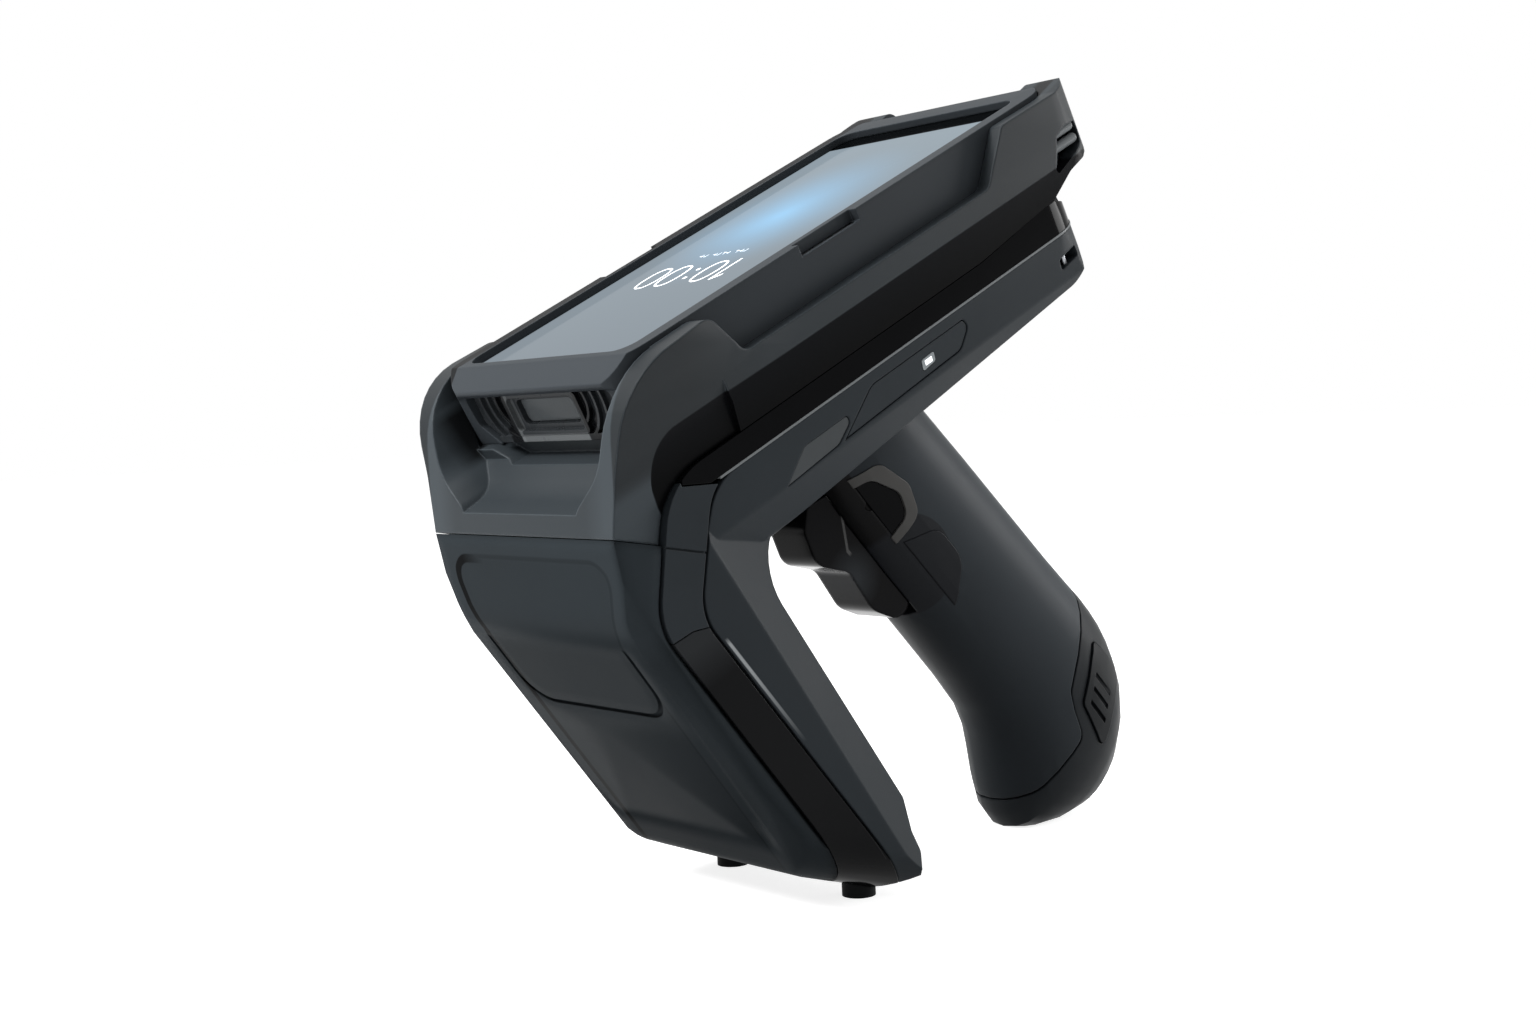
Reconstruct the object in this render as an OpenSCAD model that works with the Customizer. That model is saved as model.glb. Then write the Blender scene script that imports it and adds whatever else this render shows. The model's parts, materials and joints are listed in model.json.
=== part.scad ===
// Handheld RFID reader: a phone in a rubber boot on a pistol-grip sled with an antenna leg in front.
// Every piece is drawn in the deck frame: X across, Y rearwards along the phone, Z square to the phone.
// Y = 0 is the nose at the seam, Z = 0 the trim line. stand() then pitches the whole object so that it
// rests on the feet of its antenna leg and on the toe of its grip.

/* [Phone] */
// Width of the phone
phone_w = 76; // [64:1:92]
// Length of the phone
phone_l = 160; // [133:1:192]
// Thickness of the phone
phone_t = 17; // [14:0.5:21]
// Thickness of the cover glass
glass_t = 0.9; // [0.6:0.1:1.4]
// Travel of the side keys
key_travel = 0.6; // [0.3:0.1:1]

/* [Boot] */
// Side wall of the rubber boot
boot_side = 3.3; // [2.4:0.1:4.2]
// End wall of the rubber boot
boot_end = 5.5; // [4.5:0.1:7]
// Floor of the rubber boot
boot_floor = 2; // [1.4:0.1:3]
// Height of the rim above the glass
boot_rim = 2.2; // [1.5:0.1:3]
// Clearance between boot and cradle
boot_gap = 0.3; // [0.2:0.05:0.6]

/* [Cradle] */
// Height of the cradle base between the deck frame and the boot
cradle_base = 10; // [8:0.5:13]
// Wall of the rails beside the boot
rail_wall = 4; // [3:0.1:5]
// Height of the rails above the cradle floor
rail_rise = 7.2; // [5:0.1:9]
// Flare of the horns beyond the rails
horn_flare = 4.6; // [2:0.1:6]
// Travel of the release latch
release_travel = 3; // [1.5:0.1:4]

/* [Deck] */
// Height of the glossy deck frame
frame_h = 7; // [5:0.1:9]
// Depth of the lower shell under the trim line
shell_depth = 24; // [20:0.5:29]
// Wall of the housing mouldings
wall = 2.4; // [1.8:0.1:3]

/* [Antenna leg] */
// Length of the leg from the trim line to its front edge
leg_l = 106.5; // [89:0.5:128]
// Thickness of the antenna patch
patch_t = 5; // [3:0.5:6]
// Side of the square antenna patch
patch_side = 66; // [52:1:68]

/* [Grip] */
// Width of the grip
grip_w = 33; // [27:0.5:40]
// Diameter of a battery cell
cell_d = 18.3; // [14.5:0.1:18.5]
// Length of a battery cell
cell_l = 65; // [50:1:68]
// Travel of the battery latch buttons
latch_travel = 1.5; // [0.8:0.1:2]

/* [Trigger] */
// Width of the trigger
trigger_w = 15; // [12:0.5:17]
// Diameter of the trigger pin
pin_d = 3; // [2:0.1:4]
// Swing of the trigger
trigger_swing = 8; // [4:0.5:10]

/* [Hidden] */

// Standing pose: pitch of the deck and the place of the deck frame's origin
stand_pitch = 26;
stand_y = 105;
stand_z = 99;

// Visible gap between neighbouring mouldings, and the running clearance of what moves
seam = 0.3;
run = 0.3;
pin_fit = 0.05;
// Width that a cut runs past what it cuts
over = 1;
arc_steps = 8;

// Levels above the trim line
frame_z = 0.9;
floor_z = frame_h + cradle_base;
glass_z = floor_z + boot_floor + phone_t;
rim_z = glass_z + boot_rim;
horn_z = rim_z - 1.4;
rail_z = floor_z + rail_rise;
bevel_z = floor_z + 1.7;

// Widths from the centre line
boot_half = phone_w / 2 + boot_side;
pocket_half = boot_half + boot_gap;
deck_half = pocket_half + 1.2;
rail_half = pocket_half + rail_wall;
horn_half = rail_half + horn_flare;

// Lengths along the deck
boot_y = 18.6;
boot_l = phone_l + 2 * boot_end;
boot_back = boot_y + boot_l;
phone_y = boot_y + boot_end;
phone_back = phone_y + phone_l;
deck_back = boot_back - 5;
hook_back = boot_back + 7.4;
boot_corner = 12;
phone_corner = 8.5;
screen_half = phone_w / 2 - 1.8;
screen_y = phone_y + 3;
screen_back = phone_back - 12;

// Geometry helpers
function unit(v) = v / norm(v);
// Fillet of radius r at corner b between a and c, as a short run of points
function fillet(a, b, c, r) =
    let (
        u = unit(a - b),
        v = unit(c - b),
        half = acos(max(-1, min(1, u * v))) / 2,
        centre = b + unit(u + v) * r / sin(half),
        p = b + u * r / tan(half) - centre,
        q = b + v * r / tan(half) - centre,
        from = atan2(p[1], p[0]),
        turn = atan2(p[0] * q[1] - p[1] * q[0], p * q)
    )
    [for (i = [0:arc_steps]) centre + r * [cos(from + turn * i / arc_steps), sin(from + turn * i / arc_steps)]];
// Outline whose corners [x, y, radius] are rounded
function rounded(corners) = [
    for (i = [0:len(corners) - 1])
        let (
            n = len(corners),
            b = corners[i],
            a = corners[(i + n - 1) % n],
            c = corners[(i + 1) % n]
        )
        each (b[2] > 0 ? fillet([a[0], a[1]], [b[0], b[1]], [c[0], c[1]], b[2]) : [[b[0], b[1]]])
];
function shift(path, d) = [for (p = path) [p[0] + d[0], p[1] + d[1], p[2]]];
function reverse(path) = [for (i = [len(path) - 1:-1:0]) path[i]];
function mirrored(path) = concat(path, [for (i = [len(path) - 1:-1:0]) [-path[i][0], path[i][1], path[i][2]]]);
function box_corners(hx, y0, y1, r) = [[-hx, y0, r], [hx, y0, r], [hx, y1, r], [-hx, y1, r]];

// Profile in the Y-Z plane, as thick as twice its half width
module across(half) {
    rotate([90, 0, 90])
        translate([0, 0, -half])
            linear_extrude(2 * half)
                children();
}
module slab(corners, half) {
    across(half)
        polygon(rounded(corners));
}
// Profile in the X-Z plane, from one Y to another
module along(y0, y1) {
    translate([0, y1, 0])
        rotate([90, 0, 0])
            linear_extrude(y1 - y0)
                children();
}
// Outline in the X-Y plane, from one Z to another
module plate(corners, z0, z1) {
    translate([0, 0, z0])
        linear_extrude(z1 - z0)
            polygon(rounded(corners));
}
module both_sides() {
    children();
    mirror([1, 0, 0])
        children();
}
module stand() {
    translate([0, -stand_y, stand_z])
        rotate([stand_pitch, 0, 0])
            children();
}
module helix(r, wire, pitch, turns) {
    rings = 8;
    sides = 6;
    count = rings * turns;
    ring = [for (k = [0:sides - 1]) [r + wire * cos(360 * k / sides), wire * sin(360 * k / sides)]];
    points = [
        for (i = [0:count], k = [0:sides - 1])
            let (a = 360 * i / rings)
            [ring[k][0] * cos(a), ring[k][0] * sin(a), ring[k][1] + pitch * i / rings]
    ];
    sides_faces = [
        for (i = [0:count - 1], k = [0:sides - 1])
            let (
                a = i * sides + k,
                b = i * sides + (k + 1) % sides,
                c = b + sides,
                d = a + sides
            )
            each [[a, b, c], [a, c, d]]
    ];
    ends = [
        for (k = [1:sides - 2])
            each [[0, k + 1, k], [count * sides, count * sides + k, count * sides + k + 1]]
    ];
    polyhedron(points, concat(sides_faces, ends));
}
module screw(d, l) {
    head = 0.55 * d;
    translate([0, 0, -head / 2])
        cylinder(d = d, h = l + head / 2, $fn = 24);
    translate([0, 0, -head])
        cylinder(d = 1.9 * d, h = head, $fn = 32);
}

// Side view lines of the leg and deck, from the deck down to the leg's foot
leg_z = -leg_l;
foot_slope = 43;
heel_slope = 12;
heel_y = 31;
seam_start = [0, 2.7, 0];
// Line of the nose seam, seen from the side
function seam_z(y) = seam_start[1] - 0.728 * y;
cover_groove = [[60, frame_h, 0], [19.3, frame_h, 20], [0.4, -21.5, 16], [19.9, leg_z, 0]];
shell_groove = [[60, frame_z, 0], [31.5, frame_z, 14], [12.6, -25.5, 14], [32.3, leg_z, 0]];
function foot_point(y) = [y, leg_z - (y - 13.9) * tan(foot_slope), 0];
function heel_z(y) = foot_point(heel_y)[1] - (y - heel_y) * tan(heel_slope);
// The same lines carried on past the foot
function past_foot(path) = concat(
    [for (i = [0:len(path) - 2]) path[i]],
    [
        let (
            b = path[len(path) - 1],
            a = path[len(path) - 2],
            d = (b - a) / (a[1] - b[1])
        )
        [b[0] + d[0] * 30, b[1] - 30, 0]
    ]
);
// Groove of a seam, let into both flanks of the leg
module flank_groove(path, wide) {
    both_sides()
        translate([deck_half - 1.2, 0, 0])
            rotate([90, 0, 90])
                linear_extrude(4)
                    polygon(rounded(concat(path, reverse(shift(path, [-wide, 0])))));
}
cover_line = past_foot(cover_groove);
shell_line = past_foot(shell_groove);
shell_front = concat([[60, seam, 0], [31.5, seam, 14]], [shell_line[2], shell_line[3]]);
front_line = [seam_start, [-5.7, -20, 34], [10.4, leg_z + 4, 6], foot_point(14.6)];
rear_line = [
    [42, leg_z - 16.6, 2.5],
    [45.4, leg_z - 13.2, 2.5],
    [45.7, leg_z - 7, 2],
    [49.2, leg_z + 1, 3],
    [36.4, -shell_depth - 0.2, 13],
    [56, -shell_depth, 20],
    [deck_back - 9, -shell_depth + 8.6, 7],
    [deck_back - 0.8, seam, 0]
];
deck_top = [
    [deck_back - 3, 6.2, 2],
    [deck_back - 11.5, frame_h + 2.6, 3],
    [deck_back - 17, frame_h + 2.6, 3],
    [deck_back - 46, frame_h, 12]
];

// Envelope of the leg seen from the front: its lower corners are round, its foot slopes to a flatter heel
module leg_envelope(inset) {
    corner = 14;
    half = deck_half - inset;
    intersection() {
        translate([0, 13.9, leg_z])
            rotate([-foot_slope, 0, 0])
                along(-200, 150)
                    polygon(rounded([
                        [-half, inset, corner - inset / 2],
                        [half, inset, corner - inset / 2],
                        [half, 260, 0],
                        [-half, 260, 0]
                    ]));
        slab([[-60, heel_z(-60) + inset, 0], [220, heel_z(220) + inset, 0], [220, 90, 0], [-60, 90, 0]], half);
    }
}
// Envelope of the deck seen from behind: straight sides that turn in to a narrower belly
module deck_envelope(inset) {
    half = deck_half - inset;
    along(-40, 260)
        polygon(rounded([
            [half, 60, 0],
            [half, frame_z, 0],
            [half - 1.8, -shell_depth * 0.52, 4],
            [half - 10.5, -shell_depth - 1 + inset, 5],
            [-half + 10.5, -shell_depth - 1 + inset, 5],
            [-half + 1.8, -shell_depth * 0.52, 4],
            [-half, frame_z, 0],
            [-half, 60, 0]
        ]));
}
// Envelope of the leg seen along its length: wide flanks that turn in to a narrower back
module flank_envelope(inset) {
    tilt = 8.4;
    half = deck_half - inset;
    translate([0, 26.5 - inset / 2, -34])
        rotate([tilt, 0, 0])
            translate([0, 0, -120])
                linear_extrude(220)
                    polygon(rounded([
                        [-half, -70, 0],
                        [half, -70, 0],
                        [half - 0.5, 0, 3],
                        [half - 14, 27, 0],
                        [-half + 14, 27, 0],
                        [-half + 0.5, 0, 3]
                    ]));
}
// Leg and deck meet at the bend behind the leg
module body_envelope(inset) {
    flank_envelope(inset);
    deck_envelope(inset);
}
// Plan outline of the sled, square at the front and round at its back corners
module deck_plan(inset) {
    translate([0, 0, -160])
        linear_extrude(240)
            polygon(rounded([
                [-deck_half + inset, -60, 0],
                [deck_half - inset, -60, 0],
                [deck_half - inset, deck_back - inset, 15 - inset],
                [-deck_half + inset, deck_back - inset, 15 - inset]
            ]));
}
// Underside of the shell, between the leg and the tail
function belly_z(y) = -shell_depth + (y - 56) * 8.6 / (deck_back - 65);
// Hollow that the boards and the antenna lie in
inner_front = [[60, frame_z + 2, 0], [20, frame_z + 2, 12], [-2.6, -21, 12], [15, leg_z + 2, 4]];
inner_rear = [
    [41.5, leg_z - 9.5, 6],
    [44.8, leg_z + 2, 4],
    [33.6, -shell_depth + 4, 16],
    [56, -shell_depth + wall, 0],
    [deck_back - 11, -shell_depth + 10.4, 5],
    [deck_back - 6, -1, 3],
    [deck_back - 8, frame_z + 2, 0]
];
module inner_hollow() {
    intersection() {
        slab(concat(inner_front, inner_rear), deck_half - wall);
        leg_envelope(wall);
        deck_plan(wall);
        body_envelope(wall);
    }
}

// Cradle that holds the boot, with its horns, scoop, rails, cheeks and hooked rear corners
cradle_outline = [
    seam_start,
    [floor_z - 0.8, horn_z, 24],
    [45.4, horn_z + 0.4, 5],
    [52.4, rail_z, 5],
    [boot_back - 42, rail_z, 4],
    [boot_back - 29.3, horn_z + 0.2, 3],
    [boot_back - 5, horn_z - 0.1, 6],
    [hook_back - 3, horn_z + 1.8, 3],
    [hook_back, horn_z - 4, 2],
    [hook_back - 4, floor_z + 0.6, 1],
    [hook_back - 16, floor_z - 2, 6],
    [deck_back - 13, frame_h + seam + 2.6, 3],
    [deck_back - 17, frame_h + seam + 2.6, 3],
    [deck_back - 46, frame_h + seam, 12],
    [19.3 - seam, frame_h + seam, 20],
    [10.5, seam_z(10.5), 0]
];
module horn_envelope() {
    along(-20, 62)
        polygon(rounded(mirrored([
            [deck_half - 2.2, -20, 0],
            [deck_half - 2, 2.7, 0],
            [deck_half + 0.3, floor_z - 1, 20],
            [rail_half + 1.5, floor_z + 12, 20],
            [horn_half + 0.4, horn_z + 2, 0]
        ])));
}
module rail_envelope() {
    intersection() {
        along(44, 260)
            polygon(rounded(mirrored([
                [deck_half, frame_h, 0],
                [rail_half, bevel_z, 1],
                [rail_half + 0.3, rail_z + 1, 0],
                [rail_half + 0.3, 90, 0]
            ])));
        plate(
            [
                [-rail_half + 1, 40, 0],
                [rail_half - 1, 40, 0],
                [rail_half + 0.3, 76, 30],
                [rail_half + 0.3, hook_back, 15],
                [-rail_half - 0.3, hook_back, 15],
                [-rail_half - 0.3, 76, 30]
            ],
            0, 90
        );
    }
}
module boot_pocket() {
    plate(
        box_corners(pocket_half, boot_y - boot_gap, boot_back + boot_gap, boot_corner + boot_gap),
        floor_z, rim_z + 40
    );
}
module scoop_cut() {
    intersection() {
        along(-20, boot_y + boot_corner)
            polygon(rounded(mirrored([
                [25, 2, 0],
                [25, 7.6, 7],
                [36, floor_z - 1, 14],
                [pocket_half - 1, floor_z + 13, 20],
                [pocket_half + 0.6, horn_z, 0],
                [pocket_half + 2, rim_z + 40, 0]
            ])));
        slab(
            [
                [-20, 7.4, 0],
                [3, 7.6, 0],
                [12, 8.2, 14],
                [boot_y + 0.5, floor_z - 3, 0],
                [boot_y + 0.5, floor_z, 0],
                [boot_y + boot_corner, floor_z, 0],
                [boot_y + boot_corner, rim_z + 40, 0],
                [-20, rim_z + 40, 0]
            ],
            60
        );
    }
}
cheek_corners = [
    [boot_back - 10.8, floor_z + 8.7, 1],
    [boot_back - 6.2, floor_z + 10.3, 2],
    [boot_back, floor_z + 9.5, 1],
    [boot_back + 1.1, floor_z + 7.3, 1],
    [boot_back - 0.2, floor_z + 3.3, 1],
    [boot_back - 13.8, floor_z - 0.8, 0.8],
    [boot_back - 14.7, floor_z + 0.8, 0.8],
    [boot_back - 12.4, floor_z + 4.9, 2]
];
cradle_bosses = [[-33, 56], [33, 56], [-33, boot_back - 38], [33, boot_back - 38]];
module device_cradle() {
    lug = 8;
    rib = 1.6;
    color("#3c4045")
        difference() {
            union() {
                intersection() {
                    slab(cradle_outline, horn_half + 1);
                    horn_envelope();
                    plate(
                        mirrored([
                            [deck_half - 4, -8, 0],
                            [horn_half + 0.6, 14, 14],
                            [horn_half, 30, 10],
                            [rail_half - 0.6, 60, 0]
                        ]),
                        -20, 90
                    );
                }
                intersection() {
                    slab(cradle_outline, rail_half + 1);
                    rail_envelope();
                }
            }
            boot_pocket();
            scoop_cut();
            // Pocket under the scanner, and the side openings of the rear cheeks
            along(boot_y - 3, boot_y + 6)
                polygon(rounded(mirrored([
                    [20, floor_z - 4, 1.5],
                    [30, floor_z + over, 0]
                ])));
            both_sides()
                translate([pocket_half - 3, 0, 0])
                    rotate([90, 0, 90])
                        linear_extrude(12)
                            polygon(rounded(cheek_corners));
            // Hollow under the floor, between the skirts
            difference() {
                plate(
                    box_corners(deck_half - 2 * wall, boot_y + 8, deck_back - 18, 8),
                    -20, floor_z - wall
                );
                for (p = cradle_bosses)
                    translate([p[0], p[1], -20])
                        cylinder(d = lug, h = 60, $fn = 32);
                for (y = [72, 110])
                    translate([-60, y, -20])
                        cube([120, rib, 60]);
            }
            // Screw holes in the bosses
            for (p = cradle_bosses)
                translate([p[0], p[1], -20])
                    cylinder(d = 2.6, h = 20 + floor_z - wall, $fn = 24);
            // Window for the contact block
            translate([-13, contact_y - 5, floor_z - wall - over])
                cube([26, 10, wall + 2 * over]);
            // Opening in the rear wall, where the release latch shows
            along(boot_back - 10, hook_back + 10)
                polygon(rounded(mirrored([
                    [latch_half + run, sill_z, 1.5],
                    [latch_half + run, horn_z - 8, 1.5]
                ])));
            // The rear wall is low between its hooked corners
            along(boot_back - 10, hook_back + 10)
                polygon(rounded(mirrored([
                    [latch_half - 8, horn_z - 3.4, 3],
                    [latch_half - 2, rim_z + 20, 0]
                ])));
        }
}
latch_half = pocket_half - 6;
sill_z = floor_z + 1.6;
release_y = boot_back + 2.4;
contact_y = boot_back - 34;

module cradle_screws() {
    color("#8a8d90")
        for (p = cradle_bosses)
            translate([p[0], p[1], frame_h - wall])
                screw(2.5, wall + 5.5);
}

// Latch bar in the rear opening: it is pushed down against two springs to free the boot
module release_latch() {
    y0 = boot_back + boot_gap + run;
    z0 = sill_z + release_travel + run;
    z1 = horn_z - 8 - run;
    color("#4a4e53")
        difference() {
            union() {
                along(y0, y0 + 4)
                    polygon(rounded(box_corners(latch_half, z0, z1, 1.5)));
                for (i = [-3:3])
                    translate([i * 8 - 1, y0 + 3, z0 + 0.8])
                        cube([2, 2.2, z1 - z0 - 1.6]);
            }
            for (x = [-1, 1])
                translate([x * latch_half / 2, release_y, z0 - over])
                    cylinder(d = 3, h = over + release_travel + 1.4, $fn = 24);
        }
}
module release_springs() {
    wire = 0.25;
    turns = 3;
    color("#b8bcc0")
        for (x = [-1, 1])
            translate([x * latch_half / 2, release_y, sill_z + wire])
                helix(1.1, wire, (release_travel + run + 0.5) / turns, turns);
}
module contact_block() {
    color("#1b1c1e")
        difference() {
            union() {
                translate([-12.8, contact_y - 4.8, frame_h - wall - 1.4])
                    cube([25.6, 9.6, floor_z - frame_h + wall + 1.2]);
                translate([-15, contact_y - 7, frame_h - wall - 1.4])
                    cube([30, 14, 1.4]);
            }
            for (i = [-3:3])
                translate([i * 3.4, contact_y, floor_z - 1])
                    cylinder(d = 1.8, h = 2, $fn = 24);
        }
    color("#c9a13b")
        for (i = [-3:3])
            translate([i * 3.4, contact_y, floor_z - 1])
                cylinder(d = 1.5, h = 0.75, $fn = 24);
}

// Phone
module phone_solid(grow) {
    plate(
        box_corners(phone_w / 2 + grow, phone_y - grow, phone_back + grow, phone_corner + grow),
        floor_z + boot_floor - grow, glass_z - glass_t + grow
    );
}
key_y = boot_y + 76;
key_l = 20;
key_h = 6;
key_z = rim_z - 9.5;
key_reach = boot_side - 1.2;
far_key_y = boot_y + 136;
module key_slot(y, grow) {
    translate([0, y - key_l / 2 - grow, key_z - grow])
        cube([phone_w / 2 + key_reach + grow, key_l + 2 * grow, key_h + 2 * grow]);
}
module phone_body() {
    color("#17181a")
        difference() {
            phone_solid(0);
            // Seats of the side keys
            intersection() {
                key_slot(key_y, run);
                translate([phone_w / 2 - 2, 0, 0])
                    cube([10, 300, 60]);
            }
            mirror([1, 0, 0])
                intersection() {
                    key_slot(far_key_y, run);
                    translate([phone_w / 2 - 2, 0, 0])
                        cube([10, 300, 60]);
                }
            // Recess of the scanner's bezel in the front face
            along(phone_y - over, phone_y + 3)
                polygon(rounded(mirrored([
                    [scan_half + 3, scan_z - 5.5, 2],
                    [scan_half + 3, scan_z + 6.6, 2]
                ])));
        }
}
module phone_glass() {
    color("#25303a")
        plate(
            box_corners(phone_w / 2, phone_y, phone_back, phone_corner),
            glass_z - glass_t, glass_z
        );
}
module side_key(y) {
    color("#5d6166")
        translate([phone_w / 2 - 2 + key_travel + 0.2, y - key_l / 2, key_z])
            cube([2 + key_reach - key_travel - 0.2, key_l, key_h]);
}
module side_key_left() {
    side_key(key_y);
}
module side_key_right() {
    mirror([1, 0, 0])
        side_key(far_key_y);
}

// Boot round the phone, with its bumper over the scanner
scan_half = 14;
scan_z = floor_z + boot_floor + phone_t * 0.34;
module rubber_boot() {
    fit = 0.1;
    lip_rise = 5.2;
    color("#202226")
        difference() {
            intersection() {
                plate(
                    box_corners(boot_half, boot_y, boot_back, boot_corner),
                    floor_z, rim_z
                );
                // Side profile: the bumper leans back towards the glass
                slab(
                    [
                        [boot_y + 3.4, floor_z - over, 0],
                        [boot_y + 2.2, rim_z - lip_rise - 2, 1],
                        [boot_y, rim_z - lip_rise, 1],
                        [boot_y + 6.6, rim_z + 0.1, 1.5],
                        [boot_back, rim_z + 0.1, 2],
                        [boot_back, floor_z - over, 2]
                    ],
                    boot_half + over
                );
            }
            phone_solid(fit);
            plate(
                box_corners(screen_half, screen_y, screen_back + 8, phone_corner - 3),
                glass_z - glass_t, rim_z + over
            );
            plate(
                box_corners(phone_w / 2 + fit, phone_y - fit, phone_back + fit, phone_corner),
                glass_z - glass_t - fit, glass_z + fit
            );
            // Opening for the scanner under the bumper
            along(boot_y - over, phone_y + over)
                polygon(rounded(mirrored([
                    [26, floor_z - over, 0],
                    [33, floor_z + 6, 3],
                    [33, rim_z - lip_rise - 1.6, 2]
                ])));
            // Key openings in the side walls, and the lowered rim over the near one
            key_slot(key_y, run);
            mirror([1, 0, 0])
                key_slot(far_key_y, run);
            translate([screen_half + 2.4, key_y - key_l / 2 - 1, rim_z - 3.2])
                cube([10, key_l + 2, 10]);
            translate([-screen_half - 12.4, key_y - 14, rim_z - 0.8])
                cube([10, 20, 10]);
            // Hole over the contacts
            translate([-13, contact_y - 5, floor_z - over])
                cube([26, 10, boot_floor + 2 * over]);
        }
}
module scan_frame(grow, z0, z1) {
    polygon(rounded(mirrored([
        [scan_half + grow, z0, 1.6],
        [scan_half + grow, z1, 1.6]
    ])));
}
// Outline of the scanner's wings, inside the opening of the boot
module scan_wing() {
    polygon(rounded(mirrored([
        [25, floor_z + 0.6, 1.5],
        [31.8, floor_z + 6, 3],
        [31.8, scan_z + 6.1, 1.5]
    ])));
}
module scan_bezel() {
    wing_rib = 0.9;
    color("#3a3d42")
        difference() {
            union() {
                along(phone_y - 2.6, phone_y + 2.9)
                    scan_frame(2.8, scan_z - 5.3, scan_z + 6.4);
                along(phone_y - 1.3, phone_y - 0.2)
                    scan_wing();
                // Curved ribs beside the window, and the bar under it
                along(phone_y - 2.5, phone_y - 0.2)
                    intersection() {
                        scan_wing();
                        union() {
                            for (x = [-1, 1], i = [1:3])
                                translate([x * (scan_half - 1), scan_z + 4])
                                    difference() {
                                        circle(r = 4 + 3.6 * i, $fn = 64);
                                        circle(r = 4 + 3.6 * i - wing_rib, $fn = 64);
                                    }
                            translate([-26, floor_z])
                                square([52, 2.4]);
                        }
                    }
            }
            along(phone_y - 2.6 - over, phone_y - 1.2)
                scan_frame(1.2, scan_z - 4.2, scan_z + 5.2);
            along(phone_y - 2, phone_y + 1.4)
                scan_frame(-1.2, scan_z - 2.8, scan_z + 4.2);
        }
}
module scan_window() {
    color("#0c0f14")
        along(phone_y + 0.2, phone_y + 1.4)
            scan_frame(-1.3, scan_z - 2.7, scan_z + 4.1);
}

// Sled mouldings, from the cover in front to the shell behind
module front_body() {
    // Convex front of the leg: the flanks turn in to a narrower face
    hull() {
        slab([[2, 2.7, 0], [0, 2.7, 0], [-2.6, -8, 0], [6, -8, 0]], deck_half - 2);
        slab([[-4.6, -25, 0], [-5, -18, 0], [0, -18, 0]], deck_half - 4.9);
        slab([[7.3, leg_z + 20, 0], [10.6, leg_z + 2, 0], [20, leg_z - 3, 0]], deck_half - 7.2);
        slab([[10.6, leg_z + 2, 0], foot_point(14.6), [24, leg_z - 7, 0]], deck_half - 6.6);
        slab(
            [
                [20, -10, 0],
                [6, -6, 0],
                [1.4, -14.6, 0],
                [-0.4, -24.5, 0],
                [6.6, -72, 0],
                [14.4, leg_z + 7.4, 0],
                [19, leg_z - 10, 0],
                [40, leg_z - 10, 0]
            ],
            deck_half - 0.4
        );
    }
}
module antenna_cover() {
    panel_half = 31.4;
    panel_z = -48.8;
    groove_w = 1.4;
    color("#33373c")
        difference() {
            intersection() {
                slab(
                    concat(
                        front_line,
                        reverse(shift(cover_line, [-seam, 0]))
                    ),
                    deck_half
                );
                front_body();
                leg_envelope(0);
                // Everything under the seam
                slab([[-30, seam_z(-30) - seam, 0], [60, seam_z(60) - seam, 0], [60, -200, 0], [-30, -200, 0]], 60);
            }
            // Groove round the inset panel of the face
            intersection() {
                difference() {
                    along(-12, 4)
                        polygon(rounded(box_corners(panel_half, panel_z, 24, 10)));
                    along(-13, 5)
                        polygon(rounded(box_corners(panel_half - groove_w, panel_z + groove_w, 24, 9)));
                }
                slab(shift([[-30, 0, 0], [-5.7, -20, 34], [10.4, leg_z + 4, 6], [10, -150, 0], [-30, -150, 0]],
                    [0.9, 0]), 60);
            }
            flank_groove(cover_line, 1.1);
            // Pocket behind the face, where the patch stands on four posts
            difference() {
                antenna_pocket();
                patch_posts();
            }
        }
    intersection() {
        color("#33373c")
            patch_posts();
        front_body();
        leg_envelope(0);
        slab([[-10, -20, 0], [50, -20, 0], [50, -110, 0], [-10, -110, 0]], deck_half);
    }
}
patch_depth = 5;
spacer_l = 4;
module patch_posts() {
    leg_plane(1.6)
        for (x = [-1, 1], y = [-1, 1])
            translate([x * 35.6, y * 26, 0])
                cylinder(d = 5, h = patch_depth + patch_t + spacer_l - 1.6, $fn = 24);
}
module antenna_pocket() {
    intersection() {
        slab(
            [
                [4, -14, 0],
                [-2.6, -21, 6],
                [9, leg_z + 14, 4],
                [30, leg_z + 4, 0],
                [30, -14, 0]
            ],
            deck_half - 2 * wall
        );
        leg_envelope(2 * wall);
    }
}
inlay_end = -27.4;
// Start of the deck frame at the groove of the cover, and of the strip and the gasket below it
deck_start = 22.3;
deck_start_z = 4.6;
deck_start_fall = 0.484;
trim_start = 33;
module band(corners_front, corners_rear, half) {
    intersection() {
        slab(concat(corners_front, reverse(corners_rear)), half);
        leg_envelope(0);
    }
}
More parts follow.
